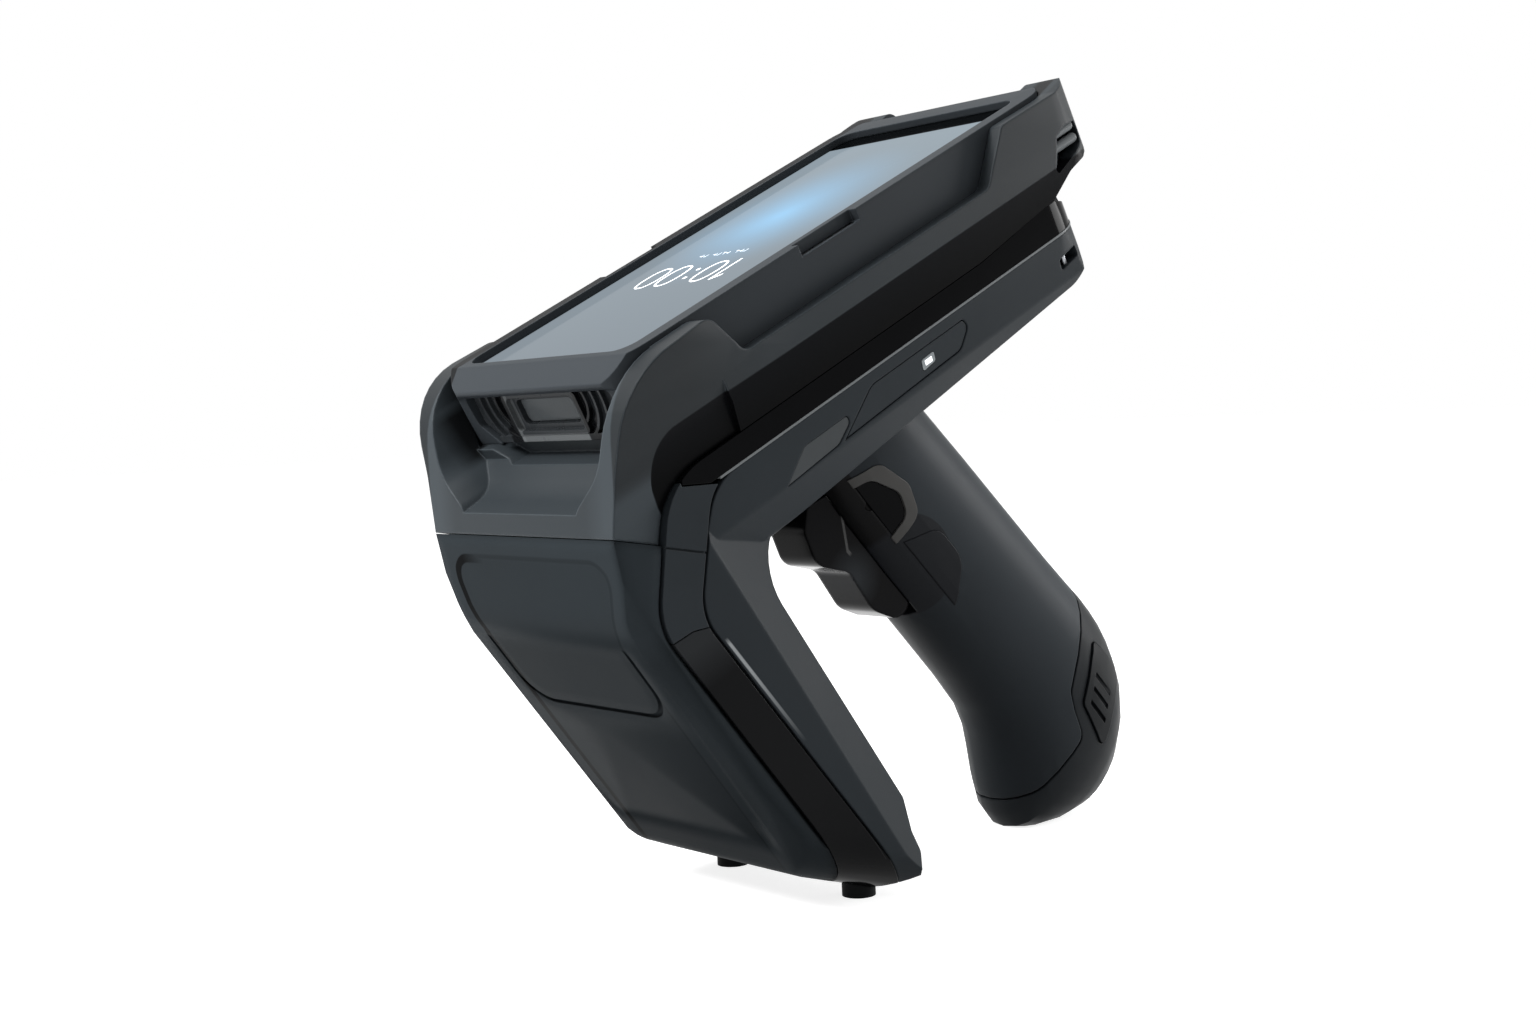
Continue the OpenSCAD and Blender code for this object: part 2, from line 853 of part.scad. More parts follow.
// Where the matte nose frame ends and the glossy frames begin
module nose_zone(gap) {
    slab(
        [
            [-20, 20, 0],
            [deck_start - gap, 20, 0],
            [deck_start - gap, deck_start_z - gap, 0],
            [deck_start + 18, deck_start_z - gap - 18 * deck_start_fall, 0],
            [deck_start + 18, inlay_end - 3 + gap, 0],
            [13, inlay_end - 1.8 + gap, 1],
            [8, inlay_end + gap, 4],
            [-20, inlay_end + 2 + gap, 0]
        ],
        70
    );
}
module sled_ring() {
    // Band between cover and shell on the leg, hollow inside
    difference() {
        band(cover_line, shift(shell_line, [-seam, 0]), deck_half);
        inner_hollow();
        flank_groove(shell_line, 1.1);
    }
}
module nose_frame() {
    color("#3d4146")
        difference() {
            intersection() {
                sled_ring();
                nose_zone(seam);
            }
            // The seam of the nose runs on across this frame
            both_sides()
                translate([deck_half - 0.6, 0, 0])
                    rotate([90, 0, 90])
                        linear_extrude(3)
                            polygon([[9, -4.2], [24, -15.1], [24, -15.7], [9, -4.8]]);
        }
}
module leg_frame() {
    color("#101114")
        difference() {
            sled_ring();
            nose_zone(0);
            translate([-80, deck_start - 4, -14])
                cube([160, 200, 60]);
        }
}
module deck_frame() {
    color("#101114")
        difference() {
            intersection() {
                slab(
                    concat(
                        [
                            [deck_start, deck_start_z, 0],
                            [deck_start + (deck_start_z - frame_z) / deck_start_fall, frame_z, 0],
                            [deck_back, frame_z, 0],
                            [deck_back + 0.2, 2.6, 2]
                        ],
                        deck_top,
                        [for (p = rounded(cover_line)) if (p[0] > deck_start && p[1] > 0) [p[0], p[1], 0]]
                    ),
                    deck_half
                );
                deck_plan(0);
            }
            difference() {
                plate(box_corners(deck_half - 2 * wall, trim_start + 8, deck_back - 8, 8), -over, frame_h - wall);
                // Posts that the housing screws run up into
                for (p = screw_places)
                    translate([p[0], p[1], -over])
                        cylinder(d = 7, h = 20, $fn = 32);
            }
            // Window for the contact block, holes of both kinds of screw
            translate([-13, contact_y - 5, 0])
                cube([26, 10, 20]);
            for (p = cradle_bosses)
                translate([p[0], p[1], 0])
                    cylinder(d = 2.8, h = 20, $fn = 24);
        }
    difference() {
        color("#101114")
            for (p = screw_places)
                translate([p[0], p[1], board_z + board_t])
                    cylinder(d = 7, h = frame_h - wall - board_z - board_t + 0.5, $fn = 32);
        for (p = screw_places)
            translate([p[0], p[1], board_z])
                cylinder(d = 2.7, h = frame_h - board_z - wall - 2, $fn = 24);
    }
}
module trim_strip() {
    color("#9aa0a6")
        difference() {
            intersection() {
                slab([[trim_start, seam, 0], [deck_back + 9, seam, 0], [deck_back + 9, frame_z, 0], [trim_start, frame_z, 0]],
                    deck_half + 0.15);
                plate(box_corners(deck_half + 0.15, -60, deck_back + 0.15, 15), 0, 2);
            }
            plate(box_corners(deck_half - 1.2, trim_start - 10, deck_back - 1.2, 13.8), -over, 3);
        }
}
module lower_shell() {
    color("#34383d")
        difference() {
            intersection() {
                slab(concat(shell_front, rear_line), deck_half);
                leg_envelope(0);
                deck_plan(0);
                body_envelope(0);
            }
            difference() {
                inner_hollow();
                // Bosses of the housing screws, and the blocks round the strap slots
                for (p = screw_places)
                    translate([p[0], p[1], -60])
                        cylinder(d = 9, h = 60 + board_z, $fn = 32);
                both_sides()
                    translate([deck_half - 9, strap_y - 7, -13])
                        cube([12, 14, 11]);
            }
            // Recesses for the status panels and the side windows
            both_sides()
                status_zone(0, 1.6);
            both_sides()
                window_zone(0, 1.4);
            // Strap slots behind
            both_sides()
                strap_slot();
            // The neck of the grip passes into the shell
            neck_block(0.2);
            // Holes and wells of the housing screws
            for (p = screw_places)
                translate([p[0], p[1], -60]) {
                    cylinder(d = 2.8, h = 60, $fn = 24);
                    cylinder(d = 5.6, h = 60 + screw_z, $fn = 32);
                }
            both_sides()
                strap_bar(pin_fit);
        }
}
screw_places = [[-26, 66], [26, 66], [-26, deck_back - 34], [26, deck_back - 34]];
screw_z = -14.6;
board_z = -12;
board_t = 1.6;
module side_prism(corners, depth) {
    translate([deck_half - depth - 2.2, 0, 0])
        rotate([90, 0, 90])
            linear_extrude(depth + 12)
                polygon(rounded(corners));
}
panel_y = boot_y + 89;
module status_zone(gap, depth) {
    side_prism(
        [
            [panel_y - 34 + 4 * gap, -11.6 + gap, 0],
            [panel_y + 14, -10.4 + gap, 4],
            [panel_y + 19.2 - gap, -5.6, 2],
            [panel_y + 17.6 - gap, -3 - gap, 1],
            [panel_y - 20 + gap, -3 - gap, 6]
        ],
        depth
    );
}
module status_panels() {
    color("#16181b")
        difference() {
            both_sides()
                intersection() {
                    status_zone(seam, 1.5);
                    deck_envelope(0.2);
                    slab([[60, 10, 0], [deck_back, 10, 0], [deck_back, -20, 0], [60, -20, 0]], deck_half);
                }
            light_hole(0);
        }
}
module light_hole(gap) {
    both_sides()
        side_prism(
            [
                [panel_y - 1.2 + gap, -9 + gap, 0.6],
                [panel_y + 4.2 - gap, -8.4 + gap, 0.6],
                [panel_y + 4.4 - gap, -5.6 - gap, 0.6],
                [panel_y - 0.8 + gap, -5.8 - gap, 0.6]
            ],
            4
        );
}
module status_light() {
    color("#f4f6f8")
        intersection() {
            light_hole(0.1);
            deck_envelope(0.1);
            slab([[60, 10, 0], [deck_back, 10, 0], [deck_back, -20, 0], [60, -20, 0]], deck_half);
        }
}
window_y = boot_y + 46;
module window_zone(gap, depth) {
    side_prism(
        [
            [window_y - 13 + gap * 2, -12.6 + gap, 0],
            [window_y + 7, -11.6 + gap, 3],
            [window_y + 12.6 - gap, -8.2, 1.5],
            [window_y + 12.4 - gap, -6 - gap, 1],
            [window_y - 4 + gap, -6 - gap, 3]
        ],
        depth
    );
}
module side_windows() {
    color("#6d7278")
        both_sides()
            intersection() {
                window_zone(0.15, 1.3);
                deck_envelope(0.2);
                slab([[40, 10, 0], [deck_back, 10, 0], [deck_back, -20, 0], [40, -20, 0]], deck_half);
            }
}
strap_y = deck_back - 13;
module strap_slot() {
    side_prism([[strap_y - 4, -9, 0.8], [strap_y + 4, -7.8, 0.8], [strap_y + 4, -4.6, 0.8], [strap_y - 4, -5.8, 0.8]], 5);
}
module strap_bar(grow) {
    translate([deck_half - 3.4, strap_y, -10.4 - grow])
        cylinder(d = 1.6 + 2 * grow, h = 7 + 2 * grow, $fn = 24);
}
module strap_bars() {
    color("#8a8d90")
        both_sides()
            strap_bar(0);
}
module deck_gasket() {
    ring = 1.2;
    edge = 1.4;
    color("#0e0f10")
        difference() {
            plate(box_corners(deck_half - edge, trim_start + 3, deck_back - edge, 15 - edge), seam, frame_z);
            plate(
                box_corners(deck_half - edge - ring, trim_start + 3 - over, deck_back - edge - ring, 15 - edge - ring),
                0, 2
            );
        }
}
// Dark clips in the wedge between deck frame and cradle, behind
module rear_clip() {
    color("#141517")
        both_sides()
            translate([deck_half - 8.4, 0, 0])
                slab(
                    [
                        [deck_back - 10, frame_h + 2, 0],
                        [deck_back - 5, frame_h, 0],
                        [deck_back - 6, frame_h + 5.8, 0.6],
                        [deck_back - 10.4, frame_h + 3.4, 0]
                    ],
                    3.4
                );
}

// Antenna and electronics
module antenna_patch() {
    color("#d8d2c0")
        leg_plane(patch_depth)
            translate([-patch_side / 2, -patch_side / 2, 0])
                cube([patch_side, patch_side, patch_t]);
}
module leg_plane(depth) {
    // Plane behind the face of the leg, centred on the antenna
    translate([0, 2.4, -60])
        rotate([90 + 11.2, 0, 0])
            mirror([0, 0, 1])
                translate([0, 0, depth])
                    children();
}
module ground_plane() {
    color("#c79a4b")
        leg_plane(patch_depth + patch_t + spacer_l)
            translate([-38, -patch_side / 2 - 1, 0])
                cube([76, patch_side + 2, 1.2]);
}
module patch_spacers() {
    color("#e6e6e0")
        leg_plane(patch_depth + patch_t)
            for (x = [-1, 1], y = [-1, 1])
                translate([x * patch_side * 0.36, y * patch_side * 0.36, 0])
                    cylinder(d = 6, h = spacer_l, $fn = 24);
}
module main_board() {
    color("#1f5a3a")
        difference() {
            plate(box_corners(deck_half - 8, 58, deck_back - 26, 3), board_z, board_z + board_t);
            for (p = screw_places)
                translate([p[0], p[1], board_z - over])
                    cylinder(d = 3, h = 4, $fn = 24);
            // Way for the wiring from the grip
            translate([-9, 95, board_z - over])
                cube([18, 18, 4]);
        }
}
module rf_shield() {
    color("#b9bdc1")
        translate([-20, 62, board_z + board_t])
            cube([34, 28, 4]);
}
module beeper() {
    color("#1c1d1f")
        translate([22, deck_back - 46, board_z + board_t])
            cylinder(d = 10, h = 4, $fn = 32);
}
module rubber_feet() {
    // Pads under the leg, flat where the object stands
    color("#121314")
        both_sides()
            difference() {
                translate([foot_x, heel_y, foot_point(heel_y)[1]])
                    rotate([-stand_pitch, 0, 0])
                        translate([0, 0, -12])
                            cylinder(d = 9, h = 18, $fn = 32);
                leg_envelope(0);
                under_table();
            }
}
foot_x = 27;
// Everything below the surface that the object stands on
module under_table() {
    rotate([-stand_pitch, 0, 0])
        translate([-200, -100, -stand_z - 100])
            cube([400, 500, 100]);
}

// Grip: its places are given as [u, s], u rearwards across its run and s down along it
grip_tilt = 18.5;
grip_centre = [127.7, -90.2];
grip_run = [sin(grip_tilt), -cos(grip_tilt)];
grip_across = [cos(grip_tilt), sin(grip_tilt)];
function grip_point(u, s) = grip_centre + s * grip_run + u * grip_across;
function grip_corner(c) = let (p = grip_point(c[0], c[1])) [p[0], p[1], c[2]];
function grip_corners(corners) = [for (c = corners) grip_corner(c)];
// Sections of the grip: front [u, s], rear [u, s] and share of its width
grip_sections = [
    [[-22, -82], [22, -76], 1.03],
    [[-24.3, -56], [22.6, -54], 1],
    [[-25.2, -34], [23.4, -34], 0.99],
    [[-25.6, -12], [23.9, -12], 0.99],
    [[-26.3, 12], [24.4, 12], 1],
    [[-27.4, 25], [25, 25], 1.01],
    [[-30.4, 33.5], [25.5, 32], 1.03],
    [[-35, 40.5], [25.5, 38], 1.05],
    [[-40, 47.5], [25, 44], 1.07],
    [[-43.6, 54], [23.8, 50], 1.07],
    [[-44.2, 60], [21.8, 56], 1.05],
    [[-40.2, 65.5], [18.6, 62], 1],
    [[-33.5, 71.5], [13.2, 68], 0.9],
    [[-25.5, 76.5], [5, 74], 0.72],
    [[-18, 80], [-4, 78.8], 0.42]
];
module grip_loft(grow) {
    around = 28;
    square_off = 2 / 2.35;
    count = len(grip_sections);
    points = [
        for (c = grip_sections, k = [0:around - 1])
            let (
                front = grip_point(c[0][0], c[0][1]),
                rear = grip_point(c[1][0], c[1][1]),
                middle = (front + rear) / 2,
                reach = unit(rear - front) * (norm(rear - front) / 2 + grow),
                a = 360 * k / around,
                along_it = sign(cos(a)) * pow(abs(cos(a)), square_off),
                across_it = sign(sin(a)) * pow(abs(sin(a)), square_off),
                p = middle + reach * along_it
            )
            [across_it * (c[2] * grip_w / 2 + grow), p[0], p[1]]
    ];
    walls = [
        for (i = [0:count - 2], k = [0:around - 1])
            let (
                a = i * around + k,
                b = i * around + (k + 1) % around,
                c = b + around,
                d = a + around
            )
            each [[a, c, b], [a, d, c]]
    ];
    ends = [
        [for (k = [0:around - 1]) k],
        [for (k = [around - 1:-1:0]) (count - 1) * around + k]
    ];
    polyhedron(points, concat(walls, ends));
}
// Part of the grip below the sloping seam of the battery cap
cap_gap = 0.7;
cap_seam = [[34, 24, 0], [20.4, 29.4, 6], [8.8, 34.5, 10], [-6.2, 40.6, 4], [-9.6, 46, 6], [-13, 54.2, 4], [-34.3, 53, 10], [-60, 43, 0]];
module cap_zone(gap) {
    slab(
        grip_corners(concat(
            [for (c = cap_seam) [c[0], c[1] + gap, c[2]]],
            [[-60, 140, 0], [34, 140, 0]]
        )),
        60
    );
}
// Battery: two cells one behind the other, in a case that slides up into the grip
pack_wall = 1.2;
pack_half = cell_d / 2 + 0.2 + pack_wall;
pack_depth = 2 * cell_d + 0.8 + 2 * pack_wall;
pack_u = -0.9;
pack_s = 55.5;
pack_l = cell_l + 4;
module pack_block(grow, s0, s1) {
    // Oblong round both cells, drawn across the run of the grip
    half = pack_half + grow;
    on_grip(0, pack_u, s0)
        linear_extrude(s1 - s0)
            polygon(rounded(box_corners(half, -pack_depth / 2 - grow, pack_depth / 2 + grow, half - 0.6)));
}
// Places along the grip, with the local Z axis pointing down its run
module on_grip(x, u, s) {
    p = grip_point(u, s);
    translate([x, p[0], p[1]])
        rotate([180 + grip_tilt, 0, 0])
            children();
}
// Neck that passes up into the shell, where the grip is screwed on
neck_top = -14;
module neck_block(grow) {
    slab(
        [
            [88 - grow, -30, 0],
            [122 + grow, -30, 0],
            [122 + grow, neck_top + grow, 0],
            [88 - grow, neck_top + grow, 0]
        ],
        11 + grow
    );
}
module above_belly() {
    slab(
        [
            [40, belly_z(40), 0],
            [170, belly_z(170), 0],
            [170, 60, 0],
            [40, 60, 0]
        ],
        60
    );
}
// Trigger and its room
pivot = [95, -43];
trigger_outline = [
    [pivot[0] + 5, -36.5, 3],
    [79, -34.5, 2],
    [75, -40, 5],
    [74.4, -50.5, 6],
    [83.6, -58, 5],
    [86, -72, 8],
    [92.5, -79, 5],
    [99.5, -78.5, 4],
    [99.5, -64, 3],
    [94, -56, 5],
    [pivot[0] + 5, -50, 3]
];
module trigger_block(grow) {
    slab(trigger_outline, trigger_w / 2 + grow);
}
module about_pivot(angle) {
    translate([0, pivot[0], pivot[1]])
        rotate([angle, 0, 0])
            translate([0, -pivot[0], -pivot[1]])
                children();
}
module trigger_room() {
    slab(
        [
            [60, -24.5, 0],
            [pivot[0] + 7, -27, 2],
            [pivot[0] + 8.3 + 5 * sin(trigger_swing), -48, 2],
            [pivot[0] + 8.4 + 23 * sin(trigger_swing), -66, 2],
            [pivot[0] + 4.4 + 37 * sin(trigger_swing), -80, 2],
            [84, -84, 0],
            [60, -70, 0]
        ],
        trigger_w / 2 + run
    );
}
module pivot_hole(d) {
    translate([-40, pivot[0], pivot[1]])
        rotate([0, 90, 0])
            cylinder(d = d, h = 80, $fn = 32);
}
bezel_corners = [[84, -33, 4], [101, -33, 5], [108, -43.5, 5], [107.5, -53, 5], [98, -57.5, 5], [84, -56, 4]];
// Column through one flank of the grip, from a flat seat outwards
module flank_column(corners, deep) {
    translate([grip_w / 2 - deep, 0, 0])
        rotate([90, 0, 90])
            linear_extrude(20)
                polygon(rounded(corners));
}
// Piece let into both flanks, with its outer face on the grip's own curve
module flank_piece(corners, deep, proud) {
    intersection() {
        grip_loft(proud);
        both_sides()
            flank_column(corners, deep);
    }
}
pad_corners = [[82, -58, 0], [100, -58, 2], [112, -60, 6], [116, -72, 8], [108, -86, 8], [90, -86, 4], [80, -78, 0]];
module grip_housing() {
    color("#2c3035")
        difference() {
            union() {
                difference() {
                    grip_loft(0);
                    above_belly();
                }
                neck_block(0);
            }
            cap_zone(-cap_gap);
            pack_block(0.35, pack_s - pack_l - 0.8, pack_s + 60);
            // Way for the wiring up the neck
            slab(grip_corners([[-4, -90, 0], [16, -90, 0], [16, -24, 3], [-4, -24, 3]]), 8);
            trigger_room();
            pivot_hole(pin_d + 2 * pin_fit);
            // Seats of the flank pieces
            both_sides()
                flank_column(bezel_corners, ring_deep + 0.1);
            both_sides()
                flank_column(pad_corners, pad_deep + 0.1);
            // Pocket for the trigger switch
            on_grip(0, switch_u, switch_s)
                translate([-3.3, -3.3, -8.3])
                    cube([6.6, 6.6 + 4, 16.6]);
        }
}
ring_deep = 3.4;
pad_deep = 2.6;
// The switch stands 1 mm behind the pulled trigger
switch_u = -14.5 + 20.5 * sin(trigger_swing);
switch_s = -34;
module grip_pads() {
    color("#1d1f23")
        difference() {
            flank_piece(pad_corners, pad_deep, 0.15);
            trigger_room();
        }
}
module trigger_bezel() {
    color("#0b0c0e")
        difference() {
            flank_piece(ring_inner(0.15), ring_deep, -0.25);
            trigger_room();
        }
}
function ring_inner(gap) = [
    [84 + gap, -36 - gap, 4],
    [97 - gap, -36 - gap, 5],
    [104 - gap, -44, 5],
    [104 - gap, -51, 4],
    [97, -55 + gap, 4],
    [84 + gap, -54 + gap, 4]
];
module trigger_rings() {
    color("#5b5e62")
        difference() {
            flank_piece(bezel_corners, ring_deep, 0.25);
            both_sides()
                flank_column(ring_inner(0), ring_deep + over);
            trigger_room();
        }
}
module trigger() {
    hook = trigger_w / 2;
    color("#15161a")
        difference() {
            intersection() {
                trigger_block(0);
                // Front edges rounded, seen along the grip
                on_grip(0, 0, -60)
                    translate([0, 0, -40])
                        linear_extrude(120)
                            polygon(rounded([
                                [-hook, -30, 0],
                                [hook, -30, 0],
                                [hook, 60, 5],
                                [-hook, 60, 5]
                            ]));
            }
            pivot_hole(pin_d + 2 * pin_fit);
            // Slot for the return spring
            translate([-2.6, pivot[0] - 4, pivot[1] - 4])
                cube([5.2, 20, 8]);
        }
}
pin_half = grip_w / 2 - ring_deep - 0.3;
module trigger_pin() {
    color("#b8bcc0")
        translate([-pin_half, pivot[0], pivot[1]])
            rotate([0, 90, 0])
                cylinder(d = pin_d, h = 2 * pin_half, $fn = 32);
}
module trigger_spring() {
    wire = 0.3;
    turns = 4;
    pitch = 1.05;
    color("#b8bcc0")
        translate([-turns * pitch / 2, pivot[0], pivot[1]])
            rotate([0, 90, 0])
                helix(pin_d / 2 + wire + 0.1, wire, pitch, turns);
}
module trigger_switch() {
    color("#202124")
        on_grip(0, switch_u, switch_s)
            translate([-3, -3, -8])
                cube([6, 6, 16]);
}
module battery_contacts() {
    color("#c9a13b")
        for (u = [4, 13])
            on_grip(0, pack_u - 9 + u, pack_s - pack_l - 0.8)
                translate([-3, -1.5, 0])
                    cube([6, 3, 0.7]);
}
module battery_case() {
    color("#26282b")
        difference() {
            pack_block(0, pack_s - pack_l, pack_s);
            for (i = [-0.5, 0.5])
                on_grip(0, pack_u + i * (cell_d + 0.4), pack_s - pack_l + 1.6)
                    cylinder(d = cell_d + 0.3, h = cell_l + 0.6, $fn = 48);
        }
}
module battery_cells() {
    color("#3b6ea8")
        for (i = [-0.5, 0.5])
            on_grip(0, pack_u + i * (cell_d + 0.4), pack_s - pack_l + 1.8) {
                cylinder(d = cell_d, h = cell_l, $fn = 48);
                translate([0, 0, -0.2])
                    cylinder(d = 6, h = 0.3, $fn = 24);
            }
}
latch_corners = [[12.6, 39.6, 1], [-5.6, 46.6, 2], [-9.8, 64, 2], [15.6, 56, 1]];
latch_floor = pack_half + 1;
latch_spring_at = grip_point(3.2, 51.5);
module latch_prism(grow, reach) {
    // Column through one flank of the cap, with the outline of a latch button
    translate([latch_floor + latch_travel + run - reach, 0, 0])
        rotate([90, 0, 90])
            linear_extrude(30)
                offset(delta = grow)
                    polygon(rounded(grip_corners(latch_corners)));
}
module battery_cap() {
    color("#24262a")
        difference() {
            grip_loft(0);
            cap_zone_above();
            pack_block(0.1, pack_s - 60, pack_s);
            under_table();
            both_sides()
                latch_prism(run, latch_travel + run);
        }
}
module cap_zone_above() {
    difference() {
        translate([-60, 0, -240])
            cube([120, 300, 260]);
        cap_zone(0);
    }
}
module latch_button(side) {
    mirror([side < 0 ? 1 : 0, 0, 0])
        color("#17181b")
            difference() {
                intersection() {
                    latch_prism(0, 0);
                    grip_loft(0.6);
                }
                // Grooves across the finger face
                for (i = [0:2])
                    translate([grip_w / 2 + 0.1, 0, 0])
                        rotate([90, 0, 90])
                            linear_extrude(6)
                                polygon(rounded(grip_corners([
                                    [-4 + i * 4, 49 - i * 1.6, 0],
                                    [-2.6 + i * 4, 48.5 - i * 1.6, 0],
                                    [-2.6 + i * 4, 58 - i * 1.6, 0],
                                    [-4 + i * 4, 58.5 - i * 1.6, 0]
                                ])));
                // Bore for the end of its spring
                translate([latch_floor, latch_spring_at[0], latch_spring_at[1]])
                    rotate([0, 90, 0])
                        cylinder(d = 4.4, h = 2 * latch_travel + run + 1, $fn = 24);
            }
}
module latch_button_left() {
    latch_button(1);
}
module latch_button_right() {
    latch_button(-1);
}
module latch_springs() {
    wire = 0.2;
    turns = 2;
    color("#b8bcc0")
        both_sides()
            translate([latch_floor + wire, latch_spring_at[0], latch_spring_at[1]])
                rotate([0, 90, 0])
                    helix(1.6, wire, (latch_travel + run + 0.2) / turns, turns);
}
module housing_screws() {
    color("#8a8d90")
        for (p = screw_places)
            translate([p[0], p[1], screw_z])
                screw(2.6, 10);
}

stand() device_cradle();
stand() cradle_screws();
stand() release_latch();
stand() release_springs();
stand() contact_block();
stand() phone_body();
stand() phone_glass();
stand() side_key_left();
stand() side_key_right();
stand() rubber_boot();
stand() scan_bezel();
stand() scan_window();
stand() deck_frame();
stand() nose_frame();
stand() leg_frame();
stand() trim_strip();
stand() lower_shell();
stand() deck_gasket();
stand() rear_clip();
stand() strap_bars();
stand() antenna_cover();
stand() antenna_patch();
stand() ground_plane();
stand() patch_spacers();
stand() status_panels();
stand() status_light();
stand() side_windows();
stand() main_board();
stand() rf_shield();
stand() beeper();
stand() rubber_feet();
stand() grip_housing();
stand() grip_pads();
stand() trigger_bezel();
stand() trigger_rings();
stand() trigger();
stand() trigger_pin();
stand() trigger_spring();
stand() trigger_switch();
stand() battery_contacts();
stand() battery_case();
stand() battery_cells();
stand() battery_cap();
stand() latch_button_left();
stand() latch_button_right();
stand() latch_springs();
stand() housing_screws();
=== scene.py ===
"""A handheld RFID reader: a booted phone on a pistol-grip sled with an antenna leg in front."""

import json
import math

import bpy
import numpy as np
from mathutils import Matrix, Vector


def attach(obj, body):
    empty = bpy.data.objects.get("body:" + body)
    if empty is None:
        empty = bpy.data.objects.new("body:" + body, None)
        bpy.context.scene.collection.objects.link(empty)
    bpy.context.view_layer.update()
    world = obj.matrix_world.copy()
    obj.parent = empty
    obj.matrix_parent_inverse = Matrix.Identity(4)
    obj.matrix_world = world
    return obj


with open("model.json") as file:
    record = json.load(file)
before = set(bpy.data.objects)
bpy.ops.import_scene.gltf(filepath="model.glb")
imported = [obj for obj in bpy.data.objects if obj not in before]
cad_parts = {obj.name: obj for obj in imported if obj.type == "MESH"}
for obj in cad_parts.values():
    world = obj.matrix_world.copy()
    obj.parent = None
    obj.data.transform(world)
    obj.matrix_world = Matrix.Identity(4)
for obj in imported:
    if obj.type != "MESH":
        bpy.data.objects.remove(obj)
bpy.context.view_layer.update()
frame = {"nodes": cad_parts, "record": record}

# The deck frame: millimetres, X across, Y rearwards along the phone, Z square to the phone.
# The whole reader is pitched nose down until it rests on its feet and grip.
# The places that follow, in masks and in new pieces, are deck millimetres: across, along and up.
# A pair of places in a finish is a ramp: where its mask is 0 and where it is 1.
MM = 0.001
STAND_PITCH = math.radians(26)
STAND_PLACE = (0.0, -105.0 * MM, 99.0 * MM)
DECK = Matrix.Translation(STAND_PLACE) @ Matrix.Rotation(STAND_PITCH, 4, "X") @ Matrix.Scale(MM, 4)

# How far the grip slants from square to the deck
GRIP_LEAN = math.radians(18.5)

# The display under the cover glass
GLASS_TOP = 36.0
SCREEN_HALF = 36.2
SCREEN_START = 27.1
SCREEN_END = 172.0
GLOW_MIDDLE = (-2.0, 118.0)
# The share of its light that the glow loses per millimetre, across and along
GLOW_FADE = (0.026, 0.021)
# The width of a sharp edge between two tones
SHARP = 0.2

# Colours of the mouldings, before their drift
CHARCOAL = (0.020, 0.0245, 0.028)
SHELL_COLOUR = (0.018, 0.022, 0.0255)
GRIP_COLOUR = (0.016, 0.0195, 0.023)
PAD_COLOUR = (0.0095, 0.0105, 0.0125)
RUBBER_COLOUR = (0.024, 0.028, 0.032)
# What a narrow gap or a lee side looks like, where hardly any light arrives
SHADOW = (0.002, 0.002, 0.0022)
# The tones between which a moulding drifts, as factors of its colour
DRIFT = (0.94, 1.06)
# How much rougher the palest spots of a moulding are than its darkest
GLOSS_DRIFT = 0.08

# Noise in the finishes, in features per metre
PATCHES = 22.0
RIPPLES = 28.0
SMEARS = 45.0
WIPES = 60.0
SPECKS = 190.0
PEEL = 330.0
CLOUDS = 600.0
# The stretch of a noise that becomes the way from 0 to 1
PATCH_SPAN = (0.3, 0.7)
WIPE_SPAN = (0.35, 0.75)
SMEAR_SPAN = (0.4, 0.8)

# Grain of the mouldings, in features per metre, and its depth in metres and strength
FINE_GRAIN = 4000.0
GRIP_GRAIN = 2900.0
SOFT_GRAIN = 2857.14
RUBBER_GRAIN = 2500.0
GRAIN_DEPTH = 0.03 * MM
GRAIN_STRENGTH = 0.5
# The same of the orange peel on polished mouldings
PEEL_DEPTH = 0.02 * MM
PEEL_STRENGTH = 0.12
# How much rougher the wiped marks are than the polish between them
WIPE_DRIFT = 0.06
# How far rounded and true normals agree on a flat face and on an edge with a painted highlight
EDGE_HIGHLIGHT_SPAN = (0.99, 0.8)
BEVEL_SAMPLES = 6


class Shade:
    """One value, colour or vector inside a node tree: the socket that carries it, with arithmetic."""

    def __init__(self, nodes, socket):
        self.nodes = nodes
        self.socket = socket

    def maths(self, operation, *others, first=None):
        """The outcome of a Math node on this value and others, or on another value first."""
        values = (self, *others) if first is None else (first, self)
        return self.nodes.node("ShaderNodeMath", {"operation": operation}, dict(enumerate(values)))

    def __add__(self, other):
        return self.maths("ADD", other)

    def __sub__(self, other):
        return self.maths("SUBTRACT", other)

    def __rsub__(self, other):
        return self.maths("SUBTRACT", first=other)

    def __mul__(self, other):
        return self.maths("MULTIPLY", other)

    def __truediv__(self, other):
        return self.maths("DIVIDE", other)

    def __pow__(self, other):
        return self.maths("POWER", other)

    def __abs__(self):
        return self.maths("ABSOLUTE")

    __radd__ = __add__
    __rmul__ = __mul__

    def larger(self, other):
        """The larger of two values."""
        return self.maths("MAXIMUM", other)

    def smaller(self, other):
        """The smaller of two values."""
        return self.maths("MINIMUM", other)

    def clamp(self):
        """The value held between 0 and 1."""
        return self.larger(0.0).smaller(1.0)

    def step(self, none, full):
        """0 at none and beyond it, 1 at full and beyond it, with a straight ramp between them."""
        return ((self - none) / (full - none)).clamp()


